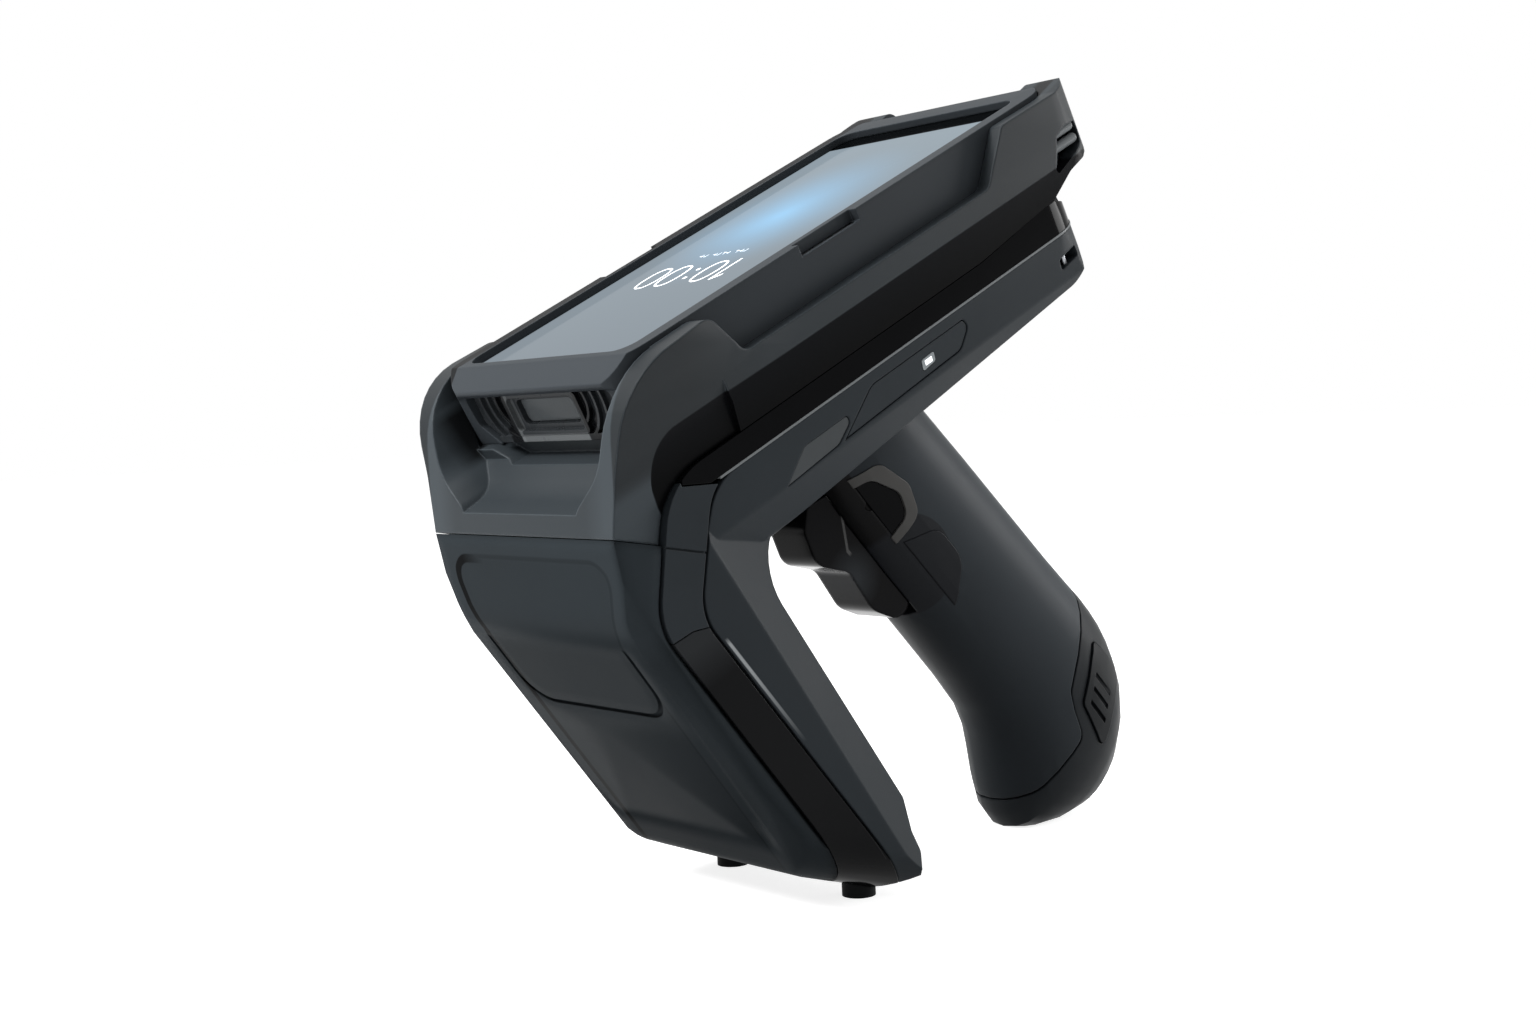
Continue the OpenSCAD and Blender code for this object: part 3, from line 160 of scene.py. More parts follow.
class Nodes:
    """A node tree under construction."""

    def __init__(self, tree):
        self.tree = tree

    def node(self, kind, settings=None, sockets=None, output=0):
        """Adds a node: its settings are set first, then the values or links of its sockets."""
        node = self.tree.nodes.new(kind)
        for key, value in (settings or {}).items():
            setattr(node, key, value)
        for key, value in (sockets or {}).items():
            self.plug(value, node.inputs[key])
        return Shade(self, node.outputs[output])

    def plug(self, value, socket):
        """Links a varying value to a socket, or sets a plain one on it."""
        if isinstance(value, Shade):
            self.tree.links.new(value.socket, socket)
        else:
            socket.default_value = value

    def seen(self):
        """1 for rays from the camera, straight or by way of gloss or glass, and 0 for other light."""
        seen = self.node("ShaderNodeLightPath", output="Is Camera Ray")
        for ray in ("Is Glossy Ray", "Is Transmission Ray"):
            seen = seen.larger(self.node("ShaderNodeLightPath", output=ray))
        return seen


class Finish(Nodes):
    """A procedural material under construction, around one Principled shader."""

    def __init__(self, name, **constants):
        self.material = bpy.data.materials.new(name)
        self.material.use_nodes = True
        super().__init__(self.material.node_tree)
        self.shader = self.tree.nodes["Principled BSDF"]
        for socket, value in constants.items():
            self.shader.inputs[socket.replace("_", " ")].default_value = value

    def feed(self, socket, value):
        """Links a value that varies over the surface to the shader."""
        self.plug(value, self.shader.inputs[socket])

    def mix_shader(self, factor, other):
        """Shows the material's own shader where the factor is 0 and the other one where it is 1."""
        own = Shade(self, self.shader.outputs[0])
        both = self.node("ShaderNodeMixShader", sockets={0: factor, 1: own, 2: other})
        self.plug(both, self.tree.nodes["Material Output"].inputs["Surface"])

    def place(self):
        """Object coordinates, in metres in the standing frame."""
        return self.node("ShaderNodeTexCoord", output="Object")

    def deck_place(self):
        """Across, along and up: Object coordinates turned back into the deck frame, in millimetres."""
        turned = self.node(
            "ShaderNodeMapping",
            {"vector_type": "TEXTURE"},
            {
                "Vector": self.place(),
                "Location": STAND_PLACE,
                "Rotation": (STAND_PITCH, 0, 0),
                "Scale": (MM, MM, MM),
            },
        )
        split = self.node("ShaderNodeSeparateXYZ", sockets={0: turned})
        return [Shade(self, output) for output in split.socket.node.outputs]

    def grip_place(self):
        """Across, lean and run: the deck frame turned by the grip's slant, so that run goes up the grip.

        With g the slant: lean = along cos g + up sin g, and run = up cos g - along sin g.
        """
        across, along, up = self.deck_place()
        lean = along * math.cos(GRIP_LEAN) + up * math.sin(GRIP_LEAN)
        run = up * math.cos(GRIP_LEAN) - along * math.sin(GRIP_LEAN)
        return across, lean, run

    def noise(self, scale, detail=2.0, rough=0.5, vector=None):
        """Smooth noise from 0 to 1 around 0.5, with features of about 1 / scale metres."""
        vector = vector or self.place()
        sockets = {"Vector": vector, "Scale": scale, "Detail": detail, "Roughness": rough}
        return self.node("ShaderNodeTexNoise", sockets=sockets)

    def blend(self, factor, first, second):
        """Colour mix: first where the factor is 0, second where it is 1."""
        first, second = (c if isinstance(c, Shade) else (*c, 1.0) for c in (first, second))
        sockets = {0: factor, 6: first, 7: second}
        return self.node("ShaderNodeMix", {"data_type": "RGBA"}, sockets, output=2)

    def layers(self, ground, *coats):
        """Coats laid over a ground colour in turn: each is a mask and the colour where it is 1."""
        for mask, colour in coats:
            ground = self.blend(mask, ground, colour)
        return ground

    def drift(self):
        """Slow drift from 0 to 1 with clear light and dark patches, some centimetres wide."""
        return self.noise(PATCHES, detail=3.0).step(*PATCH_SPAN)

    def marks(self):
        """Faint wiping marks from 0 to 1."""
        return self.noise(WIPES, detail=4.0, rough=0.6)

    def rounded(self, radius):
        """The face's normal, softly rounded over edges within that radius in millimetres."""
        return self.node("ShaderNodeBevel", {"samples": BEVEL_SAMPLES}, {"Radius": radius * MM})

    def edge_highlight(self, radius):
        """Mask for painted highlights along edges: 1 on edges and 0 on flat faces.

        It grows as the cosine between the softly rounded normal and the face's own falls.
        """
        own = self.node("ShaderNodeNewGeometry", output="Normal")
        settings, sockets = {"operation": "DOT_PRODUCT"}, {0: self.rounded(radius), 1: own}
        agree = self.node("ShaderNodeVectorMath", settings, sockets, output="Value")
        return agree.step(*EDGE_HIGHLIGHT_SPAN)

    def relief(self, height, depth, strength, edge=None):
        """Feeds the normal with a height field of that depth in metres, over softly rounded edges."""
        sockets = {"Height": height, "Distance": depth, "Strength": strength}
        if edge:
            sockets["Normal"] = self.rounded(edge)
        self.feed("Normal", self.node("ShaderNodeBump", sockets=sockets))

    def clouded(self, colour, spot, low=DRIFT[0], high=DRIFT[1]):
        """A colour that drifts from one factor of itself to another as spot goes from 0 to 1."""
        return self.blend(spot, tone(colour, low), tone(colour, high))

    def matt(self, spot, rough, edge, grain=FINE_GRAIN):
        """Feeds the roughness and the fine spark-eroded grain of a moulding."""
        self.feed("Roughness", spot * GLOSS_DRIFT + (rough - GLOSS_DRIFT / 2))
        self.relief(self.noise(grain, rough=0.6), GRAIN_DEPTH, GRAIN_STRENGTH, edge)

    def glossy(self, marks, rough, edge=0.3):
        """Feeds the roughness of a wiped polish and its hint of orange peel."""
        self.feed("Roughness", marks.step(*WIPE_SPAN) * WIPE_DRIFT + rough)
        self.relief(self.noise(PEEL, detail=1.0), PEEL_DEPTH, PEEL_STRENGTH, edge)


def tone(colour, factor):
    """A colour made lighter or darker by a factor."""
    return tuple(min(1.0, channel * factor) for channel in colour)


def distance_from(first, second, middle=(0.0, 0.0)):
    """Distance from a point in a plane: the root of the sum of both squares."""
    return ((first - middle[0]) ** 2.0 + (second - middle[1]) ** 2.0) ** 0.5


def moulded(name, colour, rough, grain=FINE_GRAIN, edge=0.4):
    """Moulded plastic: fine spark-eroded grain, slow drift of tone and gloss, and softly rounded edges.

    The drift is seven parts of broad patches and three of specks.
    """
    finish = Finish(name, Specular_IOR_Level=0.06)
    patches = finish.noise(PATCHES, detail=3.0)
    spot = (patches * 0.7 + finish.noise(SPECKS) * 0.3).step(*PATCH_SPAN)
    finish.feed("Base Color", finish.clouded(colour, spot))
    finish.matt(spot, rough, edge, grain)
    return finish.material


def polished(name, colour, rough=0.07):
    """Polished moulding: clear gloss with faint wiping marks and a hint of orange peel."""
    finish = Finish(name, Specular_IOR_Level=0.03)
    marks = finish.marks()
    finish.feed("Base Color", finish.clouded(colour, marks, 0.8, 1.2))
    finish.glossy(marks, rough)
    return finish.material


def metal(name, colour, rough):
    """Plated metal with fine drawn lines, which are noise squeezed along Z."""
    squeeze = (900.0, 900.0, 8000.0)
    finish = Finish(name, Metallic=1.0)
    drawn = finish.node("ShaderNodeMapping", sockets={"Vector": finish.place(), "Scale": squeeze})
    lines = finish.noise(1.0, vector=drawn)
    finish.feed("Base Color", finish.clouded(colour, lines, 0.85, 1.1))
    finish.feed("Roughness", lines * 0.2 + rough)
    finish.relief(lines, depth=0.01 * MM, strength=0.4)
    return finish.material


def display():
    """Lit screen under cover glass: a cool grey ground with one soft blue glow, and a black border.

    Glow = (1 - d)^1.6, d being the distance from its middle after each direction is multiplied by its fade.
    """
    front_ground, rear_ground = (0.225, 0.26, 0.29), (0.27, 0.33, 0.375)
    blue, border, unlit = (0.32, 0.62, 0.92), (0.001, 0.0012, 0.0014), (0.02, 0.024, 0.028)
    finish = Finish("screen_glass_mat", Emission_Strength=0.9, Specular_IOR_Level=0.004)
    across, along, _ = finish.deck_place()
    wide = (across - GLOW_MIDDLE[0]) * GLOW_FADE[0]
    deep = (along - GLOW_MIDDLE[1]) * GLOW_FADE[1]
    glow = (1 - distance_from(wide, deep).clamp()) ** 1.6
    ripple = finish.noise(RIPPLES, detail=3.0) * 0.6 + 0.7
    ground = finish.blend(along.step(SCREEN_START, SCREEN_END), front_ground, rear_ground)
    lit = finish.blend((glow * ripple).clamp(), ground, blue)
    inside = (
        abs(across).step(SCREEN_HALF, SCREEN_HALF - SHARP)
        * along.step(SCREEN_START, SCREEN_START + SHARP)
        * along.step(SCREEN_END, SCREEN_END - SHARP)
    )
    finish.feed("Emission Color", finish.blend(inside, border, lit))
    finish.feed("Base Color", finish.blend(inside, border, unlit))
    smears = finish.noise(SMEARS, detail=4.0).step(*SMEAR_SPAN)
    finish.feed("Roughness", smears * GLOSS_DRIFT + 0.05)
    return finish.material


def glowing(name, colour, strength):
    """Print on the display that is lit from inside, with slight clouds."""
    finish = Finish(name, Roughness=0.25, Emission_Strength=strength)
    cloud = finish.noise(CLOUDS)
    finish.feed("Emission Color", finish.clouded(colour, cloud, 0.9, 1.0))
    finish.feed("Base Color", finish.clouded(colour, cloud, 0.8, 0.95))
    return finish.material


def lamp_finish():
    """Status light: a small lit bar in the middle of a grey frame."""
    middle, half_long, half_high = (109.3, -7.2), 1.5, 0.8
    finish = Finish("status_light_mat", Roughness=0.3, Emission_Strength=1.0)
    _, along, up = finish.deck_place()
    inside = abs(along - middle[0]).step(half_long, half_long - SHARP)
    inside = inside * abs(up - middle[1]).step(half_high, half_high - SHARP)
    finish.feed("Emission Color", finish.blend(inside, (0.0, 0.0, 0.0), (0.9, 0.94, 0.96)))
    finish.feed("Base Color", finish.blend(inside, (0.16, 0.18, 0.19), (0.8, 0.82, 0.84)))
    return finish.material


def cradle_finish():
    """Charcoal moulding with painted shade: its skirt under the bevel line is near black, a second shader
    behind a mask.

    The skirt's upper edge falls off in front as a quarter ellipse: top = low + rise sqrt(1 - t^2), t being
    the share of the way from the end of its fall to its front.
    """
    outer_wall, inner_wall, boot_side = (42.0, 42.6), (39.6, 40.4), (33.0, 35.0)
    lip, lip_corners, lip_ends = (23.0, 17.0), (30.0, 38.0), (42.4, 41.8)
    horn, rear, gap_front, gap_foot = (60.0, 34.0), (115.0, 150.0), (12.0, 18.0), (10.0, 14.0)
    rim_side, rim_foot, rim_front = (-37.0, -39.0), (27.0, 29.0), (32.0, 40.0)
    skirt_front, skirt_full, skirt_low, skirt_top, skirt_blur = 14.5, 27.0, 5.0, 18.4, 0.4
    skirt_rise = (8.0, 17.0)
    finish = Finish("cradle_mat", Specular_IOR_Level=0.1)
    drift = finish.drift()
    across, along, up = finish.deck_place()
    beside = abs(across)
    flank = beside.step(*outer_wall)
    # Painted highlight: the front is paler, as if it caught the light, most of all towards its corners
    front = along.step(*lip) * (beside.step(*lip_corners) * 0.8 + 0.2) * beside.step(*lip_ends)
    # Painted shadow in the gap between horn and boot
    gap = beside.step(*reversed(inner_wall)) * beside.step(*boot_side)
    gap = gap * along.step(*gap_front) * up.step(*gap_foot)
    # Painted shadow on the inner side of the far rim
    far_rim = across.step(*rim_side) * up.step(*rim_foot) * along.step(*rim_front)
    colour = finish.layers(
        finish.clouded(CHARCOAL, drift),
        (front, tone(CHARCOAL, 1.7)),
        # Painted shade on the outer flanks: on the horns, which face away from the lamps, and fainter at
        # the rear
        (flank * along.step(*horn), tone(CHARCOAL, 0.62)),
        (flank * along.step(*rear) * 0.3, tone(CHARCOAL, 0.1)),
        (gap * 0.9, SHADOW),
        # Painted highlight along the edges
        (finish.edge_highlight(0.6) * 0.5, tone(CHARCOAL, 4.5)),
        (far_rim * 0.85, SHADOW),
    )
    finish.feed("Base Color", colour)
    finish.matt(drift, rough=0.44, edge=0.9)

    # Painted shade on the skirt, which faces down: near black, darkest at its foot
    fall = along.step(skirt_full, skirt_front)
    top = (1 - fall ** 2.0) ** 0.5 * (skirt_top - skirt_low) + skirt_low
    skirt = (top - up).step(0.0, skirt_blur) * beside.step(*inner_wall)
    skirt = skirt * along.step(skirt_front, skirt_front + skirt_blur)
    shade = finish.blend(up.step(*skirt_rise), (0.0015, 0.0016, 0.0018), (0.0046, 0.005, 0.0058))
    sockets = {"Base Color": shade, "Roughness": 0.3, "Specular IOR Level": 0.02}
    finish.mix_shader(skirt, finish.node("ShaderNodeBsdfPrincipled", sockets=sockets))
    return finish.material


def cover_finish():
    """Cover moulding: a slightly darker inset face inside a soft outline that widens towards the seam.

    The outline is a rounded box: distance = |max(q, 0)| - r + min(max(q), 0), q being the place past its
    straight sides.
    It is painted as a groove of shade: dark on its far side, which faces away from the light, faint
    elsewhere.
    """
    low_half, widening, widens, top, corner = 30.7, 5.2, (-24.0, -6.0), -3.0, 8.0
    far_side, far_groove, far_line, near_line = (-20.0, -30.0), -0.7, (1.3, 1.0), (0.8, 0.3)
    inset, bend, foot = (0.2, -1.2), (-22.0, -30.0), (-50.0, -95.0)
    colour = tone(CHARCOAL, 1.15)
    finish = Finish("antenna_cover_mat", Specular_IOR_Level=0.01)
    drift = finish.drift()
    across, _, up = finish.deck_place()
    beside = abs(across) - (up.step(*widens) * widening + low_half) + corner
    above = up - (top - corner)
    over = distance_from(beside.larger(0.0), above.larger(0.0))
    distance = over - corner + beside.larger(above).smaller(0.0)
    far = across.step(*far_side) * abs(distance - far_groove).step(*far_line)
    near = abs(distance).step(*near_line)
    face = finish.layers(
        finish.clouded(colour, drift),
        (distance.step(*inset), finish.clouded(colour, drift, 0.78, 0.9)),
        # Painted shade below its bend and towards its foot, where the face turns down, away from the lamps
        (up.step(*bend) * 0.26, tone(colour, 0.1)),
        (up.step(*foot) * 0.3, tone(colour, 0.1)),
        # Painted shade of the outline's groove
        ((far * 0.95).larger(near * 0.3), tone(colour, 0.02)),
    )
    finish.feed("Base Color", face)
    finish.matt(drift, rough=0.46, edge=5.0)
    return finish.material


def grip_finish():
    """Grip moulding with painted light towards its back and painted shade near its top and in the trigger
    slot's mouth.
    """
    mouth_rear, mouth_low = (77.2, 76.9), (-82.6, -80.6)
    rear_light_span, neck, pad_middle, pad_rim = (66.0, 120.0), (-75.0, -50.0), (72.0, -93.5), (16.2, 15.8)
    finish = Finish("grip_housing_mat", Specular_IOR_Level=0.06)
    drift = finish.drift()
    _, lean, run = finish.grip_place()
    # Painted light: the grip pales towards its back, lit from behind, with some drift
    rear_light = (lean.step(*rear_light_span) + drift * 0.12).clamp()
    colour = finish.layers(
        finish.clouded(GRIP_COLOUR, rear_light, 0.72, 1.75),
        # Painted shade near the top of the grip, under the sled
        (run.step(*neck) * 0.4, tone(GRIP_COLOUR, 0.1)),
        # Darker in a soft-edged disc round the grip pad
        (distance_from(lean, run, pad_middle).step(*pad_rim), PAD_COLOUR),
        # Painted shadow in the mouth of the trigger's slot
        (lean.step(*mouth_rear) * run.step(*mouth_low), SHADOW),
    )
    finish.feed("Base Color", colour)
    finish.matt(drift, rough=0.42, edge=0.6, grain=GRIP_GRAIN)
    return finish.material


def boot_finish():
    """Rubber boot with painted highlights on its edges and front lip and painted shade on the inner side of
    the far rim.
    """
    front_lip, far_rim = (28.0, 24.0), (-36.6, -37.0)
    finish = Finish("rubber_boot_mat", Specular_IOR_Level=0.06)
    drift = finish.drift()
    across, along, _ = finish.deck_place()
    colour = finish.layers(
        finish.clouded(RUBBER_COLOUR, drift),
        # Painted highlight on the front lip
        (along.step(*front_lip), tone(RUBBER_COLOUR, 1.3)),
        # Painted highlight along the edges
        (finish.edge_highlight(0.5) * 0.45, tone(RUBBER_COLOUR, 4.0)),
        # Painted shadow on the inner side of the far rim
        (across.step(*far_rim) * 0.9, SHADOW),
    )
    finish.feed("Base Color", colour)
    finish.matt(drift, rough=0.5, edge=0.6, grain=RUBBER_GRAIN)
    return finish.material


def scanner_finish():
    """Scanner bezel: pale sill under the window, pale jamb beside it, dark posts and a dark block below."""
    post_inner, post_outer = (15.4, 15.7), (20.6, 20.0)
    block_top, block_side = (17.2, 17.0), (14.4, 14.0)
    sill_low, sill_high, sill_end = (17.3, 17.6), (19.8, 19.5), (15.3, 15.1)
    jamb_inner, jamb_outer = (-13.9, -14.1), (-15.4, -15.2)
    finish = Finish("scan_bezel_mat", Specular_IOR_Level=0.06)
    across, _, up = finish.deck_place()
    cloud = finish.noise(SPECKS).step(*PATCH_SPAN)
    beside = abs(across)
    post = beside.step(*post_inner) * beside.step(*post_outer)
    block = up.step(*block_top) * beside.step(*block_side)
    sill = up.step(*sill_low) * up.step(*sill_high) * beside.step(*sill_end)
    jamb = across.step(*jamb_inner) * across.step(*jamb_outer)
    colour = finish.layers(
        finish.blend(cloud, (0.022, 0.025, 0.028), (0.028, 0.031, 0.034)),
        ((post + block).clamp(), (0.006, 0.0066, 0.0075)),
        ((sill * 0.75 + jamb * 0.5).clamp(), (0.15, 0.16, 0.165)),
    )
    finish.feed("Base Color", colour)
    finish.feed("Roughness", cloud * 0.1 + 0.25)
    finish.relief(cloud, depth=0.02 * MM, strength=0.3, edge=0.3)
    return finish.material


def shell_finish():
    """Shell moulding with a painted highlight line along its front edge beside the leg frame, below the
    bend.

    The line follows along = edge - slope (up - level), the rear edge of the frame.
    """
    edge, slope, level, width = 22.1, 0.245, -60.0, (0.6, 0.3)
    foot_end, bend_end = (-70.0, -45.0), (-34.0, -36.0)
    finish = Finish("shell_mat", Specular_IOR_Level=0.05)
    drift = finish.drift()
    _, along, up = finish.deck_place()
    past = along - edge + (up - level) * slope
    line = abs(past).step(*width) * up.step(*foot_end) * up.step(*bend_end)
    # Painted highlight line along the frame's rear edge
    colour = finish.blend(line * 0.7, finish.clouded(SHELL_COLOUR, drift), (0.35, 0.37, 0.38))
    finish.feed("Base Color", colour)
    finish.matt(drift, rough=0.42, edge=0.8)
    return finish.material


def trigger_finish():
    """Polished trigger: a painted highlight strip behind the upper finger bump and a painted sheen on the
    lower one.

    The strip runs straight down the grip's slant and then turns forward: its lean is where it starts, less
    the turn times the share of the way that run has gone down the turning stretch.
    """
    strip_lean, strip_turn, turning, strip_half = 71.2, 6.4, (-68.0, -77.0), (0.7, 0.35)
    strip_low, side, bump, bump_reach = (-79.0, -78.0), (7.2, 7.4), (61.0, -84.0), (10.0, 1.0)
    finish = Finish("trigger_mat", Specular_IOR_Level=0.04)
    marks = finish.marks()
    across, lean, run = finish.grip_place()
    past = lean - strip_lean + run.step(*turning) * strip_turn
    strip = abs(past).step(*strip_half) * run.step(*strip_low) * abs(across).step(*side)
    colour = finish.layers(
        finish.blend(marks, (0.0022, 0.0022, 0.0026), (0.003, 0.003, 0.0036)),
        # Painted sheen on the lower finger bump
        (distance_from(lean, run, bump).step(*bump_reach) * 0.7, (0.03, 0.034, 0.038)),
        # Painted highlight strip behind the upper finger bump
        (strip * 0.8, (0.085, 0.085, 0.085)),
    )
    finish.feed("Base Color", colour)
    finish.glossy(marks, rough=0.1, edge=1.2)
    return finish.material


def leg_frame_finish():
    """Polished leg frame with a painted reflection that makes its bend paler."""
    bend = (-42.0, -31.0)
    finish = Finish("leg_frame_mat", Specular_IOR_Level=0.04)
    marks = finish.marks()
    _, _, up = finish.deck_place()
    black = finish.blend(marks, (0.0028, 0.003, 0.0034), (0.0042, 0.0044, 0.005))
    # Painted reflection in the bend
    finish.feed("Base Color", finish.blend(up.step(*bend) * 0.8, black, (0.022, 0.024, 0.026)))
    finish.glossy(marks, rough=0.07)
    return finish.material


finishes = {
    "charcoal_plastic": moulded("charcoal_plastic_mat", CHARCOAL, 0.45, edge=0.8),
    "gloss_black": polished("gloss_black_mat", (0.0025, 0.0026, 0.003)),
    "grip_plastic": moulded("grip_plastic_mat", GRIP_COLOUR, 0.42, SOFT_GRAIN, 0.6),
    "soft_rubber": moulded("soft_rubber_mat", RUBBER_COLOUR, 0.5, RUBBER_GRAIN, 0.6),
    "black_plastic": moulded("black_plastic_mat", (0.008, 0.009, 0.010), 0.35),
    "grey_trim": moulded("grey_trim_mat", (0.075, 0.08, 0.085), 0.3),
    "screen_glass": display(),
    "light_pipe": lamp_finish(),
    "steel": metal("steel_mat", (0.32, 0.33, 0.35), 0.3),
    "contact_brass": metal("contact_brass_mat", (0.75, 0.58, 0.25), 0.25),
    "antenna_ceramic": moulded("antenna_ceramic_mat", (0.75, 0.72, 0.64), 0.5),
    "board_green": moulded("board_green_mat", (0.05, 0.22, 0.12), 0.3),
    "cell_wrap": polished("cell_wrap_mat", (0.08, 0.2, 0.45), 0.2),
}
# Pieces whose finish differs from that of their material slot
special = {
    "device_cradle": cradle_finish(),
    "antenna_cover": cover_finish(),
    "lower_shell": shell_finish(),
    "nose_frame": moulded("nose_frame_mat", SHELL_COLOUR, 0.42),
    "status_panels": moulded("status_panels_mat", tone(SHELL_COLOUR, 1.05), 0.3, edge=0.3),
    "side_windows": moulded("side_windows_mat", (0.05, 0.055, 0.058), 0.25, edge=0.3),
    # The trim strip's pale grey is partly its own colour and partly a painted highlight along the shell's
    # top edge
    "trim_strip": moulded("trim_strip_mat", (0.15, 0.16, 0.165), 0.3, edge=0.2),
    "rubber_boot": boot_finish(),
    "rubber_feet": moulded("rubber_feet_mat", (0.006, 0.0065, 0.007), 0.6),
    "scan_window": polished("scan_window_mat", (0.085, 0.094, 0.10), 0.12),
    "scan_bezel": scanner_finish(),
    "battery_cap": moulded("battery_cap_mat", tone(GRIP_COLOUR, 0.55), 0.4, SOFT_GRAIN, 0.8),
    "latch_button_left": moulded("latch_button_mat", tone(GRIP_COLOUR, 0.35), 0.4),
    "leg_frame": leg_frame_finish(),
    "trigger": trigger_finish(),
    "trigger_pin": polished("trigger_pin_mat", (0.003, 0.003, 0.003)),
    "grip_housing": grip_finish(),
    "grip_pads": moulded("grip_pads_mat", PAD_COLOUR, 0.42),
    # The rings' pale grey is partly their own colour and partly a painted reflection on their gloss
    "trigger_rings": moulded("trigger_rings_mat", (0.062, 0.061, 0.059), 0.25),
}
special["latch_button_right"] = special["latch_button_left"]


def dress(node, material, weld_gap=0.01 * MM, smooth_angle=math.radians(28)):
    """Puts a finish on a CAD piece and shades it smooth between its real edges."""
    piece = frame["nodes"][node]
    piece.data.materials.clear()
    piece.data.materials.append(material)
    piece.data.polygons.foreach_set("use_smooth", [True] * len(piece.data.polygons))
    weld = piece.modifiers.new("weld", "WELD")
    weld.merge_threshold = weld_gap
    edges = piece.modifiers.new("edges", "EDGE_SPLIT")
    edges.split_angle = smooth_angle
    edges.use_edge_sharp = False


for part in frame["record"]["subparts"]:
    dress(part["node"], special.get(part["node"], finishes[part["material_slot"]]))


def add_mesh(name, points, faces):
    """A new mesh as an object of the scene."""
    mesh = bpy.data.meshes.new(name)
    mesh.from_pydata(points, [], faces)
    piece = bpy.data.objects.new(name, mesh)
    bpy.context.scene.collection.objects.link(piece)
    return piece


def new_piece(name, points, faces, body, material, smooth=False):
    """Makes a mesh, given in deck millimetres, a visible piece that rides a body."""
    piece = add_mesh(name, points, faces)
    piece.data.transform(DECK)
    piece.data.polygons.foreach_set("use_smooth", [smooth] * len(piece.data.polygons))
    piece.data.materials.append(material)
    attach(piece, body)


def flat_piece(name, patches, body, material, lift=0.05):
    """One mesh of flat four-cornered patches, given as deck points (x, y), just over the cover glass."""
    flat = np.array(patches, dtype=float).reshape(-1, 2)
    points = np.column_stack([flat, np.full(len(flat), GLASS_TOP + lift)])
    faces = np.arange(len(flat)).reshape(-1, 4)
    new_piece(name, points.tolist(), faces.tolist(), body, material)


def bar(x0, y0, x1, y1):
    """Upright rectangle as a patch, its corners in turn so that it faces up."""
    return [(x0, y0), (x1, y0), (x1, y1), (x0, y1)]


def ring(x, y, half_x, half_y, stroke, count=40, power=2.4):
    """Digit nought: patches between two superellipses |u|^power + |v|^power = 1, a stroke apart.

    At the turn a, u is |cos a|^(2 / power) and v is |sin a|^(2 / power), with the signs of cosine and sine.
    """
    turn = np.linspace(0, 2 * math.pi, count, endpoint=False)
    u, v = (np.sign(wave) * np.abs(wave) ** (2 / power) for wave in (np.cos(turn), np.sin(turn)))
    outer = np.stack([x + u * half_x, y + v * half_y], 1)
    inner = np.stack([x + u * (half_x - stroke), y + v * (half_y - stroke)], 1)
    return np.stack([outer, np.roll(outer, -1, 0), np.roll(inner, -1, 0), inner], 1).tolist()


def rod(name, start, length, radius, body, material, count=20, rows=9):
    """Rod with half round ends that runs rearwards from a deck point.

    A profile carried round a straight axis: on the half spheres the angle b goes from the equator to the
    pole, the profile's radius is r cos b and its distance from the end r (1 - sin b). One point closes each
    end.
    """
    bend = np.linspace(0, math.pi / 2, rows)[:-1]
    along = np.concatenate([radius * (1 - np.sin(bend[::-1])), length - radius * (1 - np.sin(bend))])
    size = radius * np.cos(np.concatenate([bend[::-1], bend]))
    turn = np.linspace(0, 2 * math.pi, count, endpoint=False)
    wide, high = np.outer(size, np.cos(turn)), np.outer(size, np.sin(turn))
    rings = np.stack([wide, np.repeat(along, count).reshape(-1, count), high], 2)
    poles = [(0, 0, 0), (0, length, 0)]
    points = np.concatenate([rings.reshape(-1, 3), poles]) + np.array(start)
    here = np.arange(wide.size).reshape(-1, count)
    beside = np.roll(here, -1, 1)
    walls = np.stack([here[:-1], here[1:], beside[1:], beside[:-1]], 2).reshape(-1, 4)
    front = np.column_stack([np.full(count, here.size), here[0], beside[0]])
    rear = np.column_stack([np.full(count, here.size + 1), beside[-1], here[-1]])
    faces = walls.tolist() + front.tolist() + rear.tolist()
    new_piece(name, points.tolist(), faces, body, material, smooth=True)


def cheek_rods():
    """Two grey rods, one over the other, in each rear opening of the cradle, which end at its back."""
    beside, end, radius = 42.9, 189.0, 1.4
    grey = moulded("cheek_rod_mat", (0.13, 0.14, 0.145), 0.3, edge=0.2)
    for side, word in ((1, "left"), (-1, "right")):
        for k, (start, height) in enumerate(((170.0, 25.8), (168.0, 22.2))):
            place = (beside * side, start, height)
            rod(f"cheek_rod_{word}_{k}", place, end - start, radius, "sled", grey)


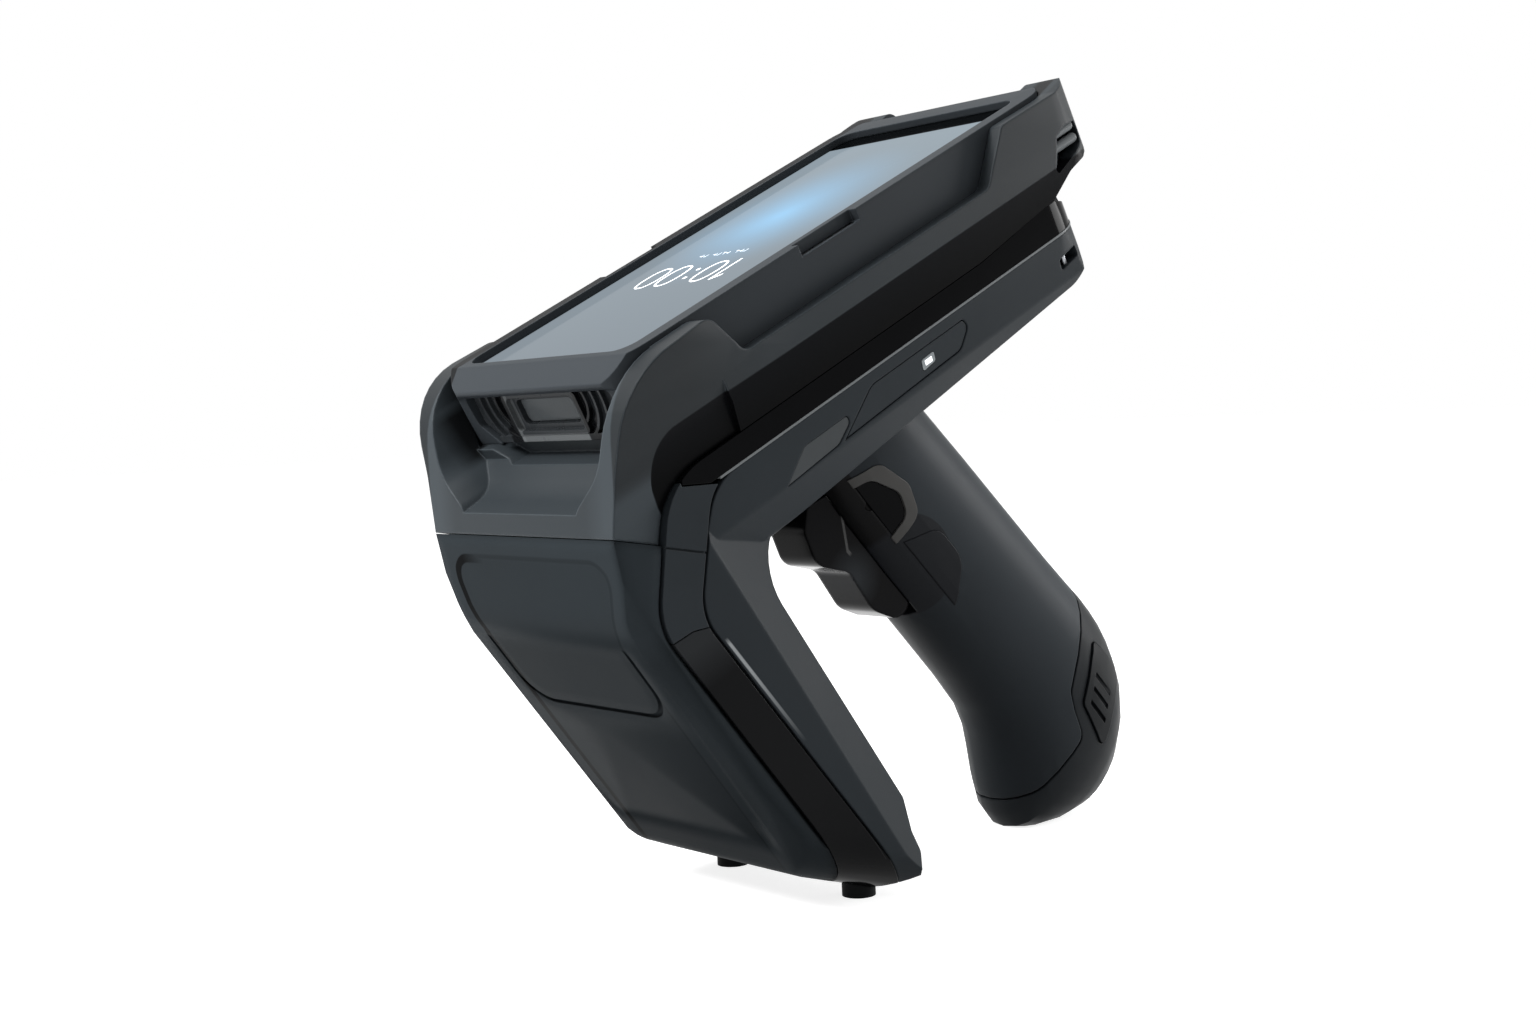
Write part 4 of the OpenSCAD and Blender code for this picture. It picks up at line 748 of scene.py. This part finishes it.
def clock():
    """Thin clock digits on the display, read from behind the grip, and a small line of marks under them."""
    lit = glowing("clock_mat", (0.95, 0.97, 1.0), 0.95)
    stroke, top, low = 0.7, 73.2, 86.0
    middle, half_high, half_wide = (top + low) / 2, (low - top) / 2, 3.9
    # The figure one at the left of the reader, which is +X: its stem and its flag
    stem, flag_start, flag_end = 14.9, 15.4, 18.0
    patches = [bar(stem, top, stem + stroke, low)]
    drop, thick = 2.3, 1.2
    patches.append([
        (flag_start, top), (flag_end, top + drop), (flag_end, top + drop + thick), (flag_start, top + thick)
    ])
    for x in (8.4, -7.2, -16.2):
        patches += ring(x, middle, half_wide, half_high, stroke)
    # The two dots between hours and minutes
    dot_x, dot_half, dot_apart = 0.8, 0.6, 2.6
    for y in (middle - dot_apart, middle + dot_apart):
        patches.append(bar(dot_x - dot_half, y - dot_half, dot_x + dot_half, y + dot_half))
    flat_piece("clock_digits", patches, "device", lit)

    # Marks in place of words: an upright each and a cross stroke at one of three heights
    faint = glowing("clock_line_mat", (0.7, 0.78, 0.86), 0.8)
    first, pitch, top, low, thin, cross_high, cross_step = 10.6, 1.9, 91.3, 92.9, 0.3, 0.35, 0.6
    marks = []
    for k, width in enumerate((0.9, 1.2, 0.8, 0.0, 1.1, 0.7, 1.2, 0.9, 0.0, 1.0, 1.2)):
        x = first - pitch * k
        if width:
            cross = top + cross_step * (k % 3)
            marks.append(bar(x - thin, top, x, low))
            marks.append(bar(x - width - thin, cross, x, cross + cross_high))
    flat_piece("clock_line", marks, "device", faint)


def studio():
    """Pale floor, white world and four large soft lamps; all places and sizes in metres.

    World and floor look white to the camera, in gloss and through glass, and give other rays plain light.
    """
    world_light, floor_reach, floor_lift, aim = 0.575, 6.0, 0.82, Vector((0, 0, 0.1))
    scene = bpy.context.scene
    scene.view_settings.view_transform = "Standard"
    scene.world = bpy.data.worlds.new("studio")
    scene.world.use_nodes = True
    sky = Nodes(scene.world.node_tree)
    background = sky.tree.nodes["Background"]
    background.inputs["Color"].default_value = (1, 1, 1, 1)
    sky.plug(sky.seen() * (1 - world_light) + world_light, background.inputs["Strength"])

    corners = bar(-floor_reach, -floor_reach, floor_reach, floor_reach)
    floor = add_mesh("floor", [(*corner, 0) for corner in corners], [(0, 1, 2, 3)])
    pale = Finish("floor_mat", Base_Color=(0.5, 0.5, 0.5, 1.0), Roughness=0.8, Specular_IOR_Level=0.0)
    shown = pale.node("ShaderNodeEmission", sockets={"Color": (1, 1, 1, 1), "Strength": floor_lift})
    own = Shade(pale, pale.shader.outputs[0])
    pale.mix_shader(pale.seen(), pale.node("ShaderNodeAddShader", sockets={0: own, 1: shown}))
    floor.data.materials.append(pale.material)

    # Name, place, width in metres and power in watts
    lamps = (
        ("key", (-0.4, -0.95, 1.05), 0.6, 31.0),
        ("top", (-0.2, 0.0, 1.6), 0.7, 9.0),
        ("side", (1.1, 0.9, 0.9), 0.7, 3.6),
        ("rim", (0.5, 1.2, 0.4), 0.5, 8.0),
    )
    for name, place, width, power in lamps:
        light = bpy.data.lights.new(name, "AREA")
        light.size = width
        light.energy = power
        lamp = bpy.data.objects.new(name, light)
        lamp.location = place
        lamp.rotation_euler = (aim - Vector(place)).to_track_quat("-Z", "Y").to_euler()
        scene.collection.objects.link(lamp)


def camera():
    """Camera at the photograph's place and angle, in metres, with its small roll."""
    eye = Vector((0.4120, -0.3622, 0.1308))
    ahead = Vector((-0.7741, 0.6308, -0.0546)).normalized()
    rolled_up = Vector((-0.0126, 0.0708, 0.9974))
    side = ahead.cross(rolled_up).normalized()
    turn = Matrix((side, side.cross(ahead), -ahead)).transposed()
    data = bpy.data.cameras.new("camera")
    data.sensor_width = 36.0
    data.lens = 45.76
    data.clip_start = 0.01
    view = bpy.data.objects.new("camera", data)
    view.matrix_world = Matrix.Translation(eye) @ turn.to_4x4()
    bpy.context.scene.collection.objects.link(view)
    bpy.context.scene.camera = view


cheek_rods()
clock()
studio()
camera()
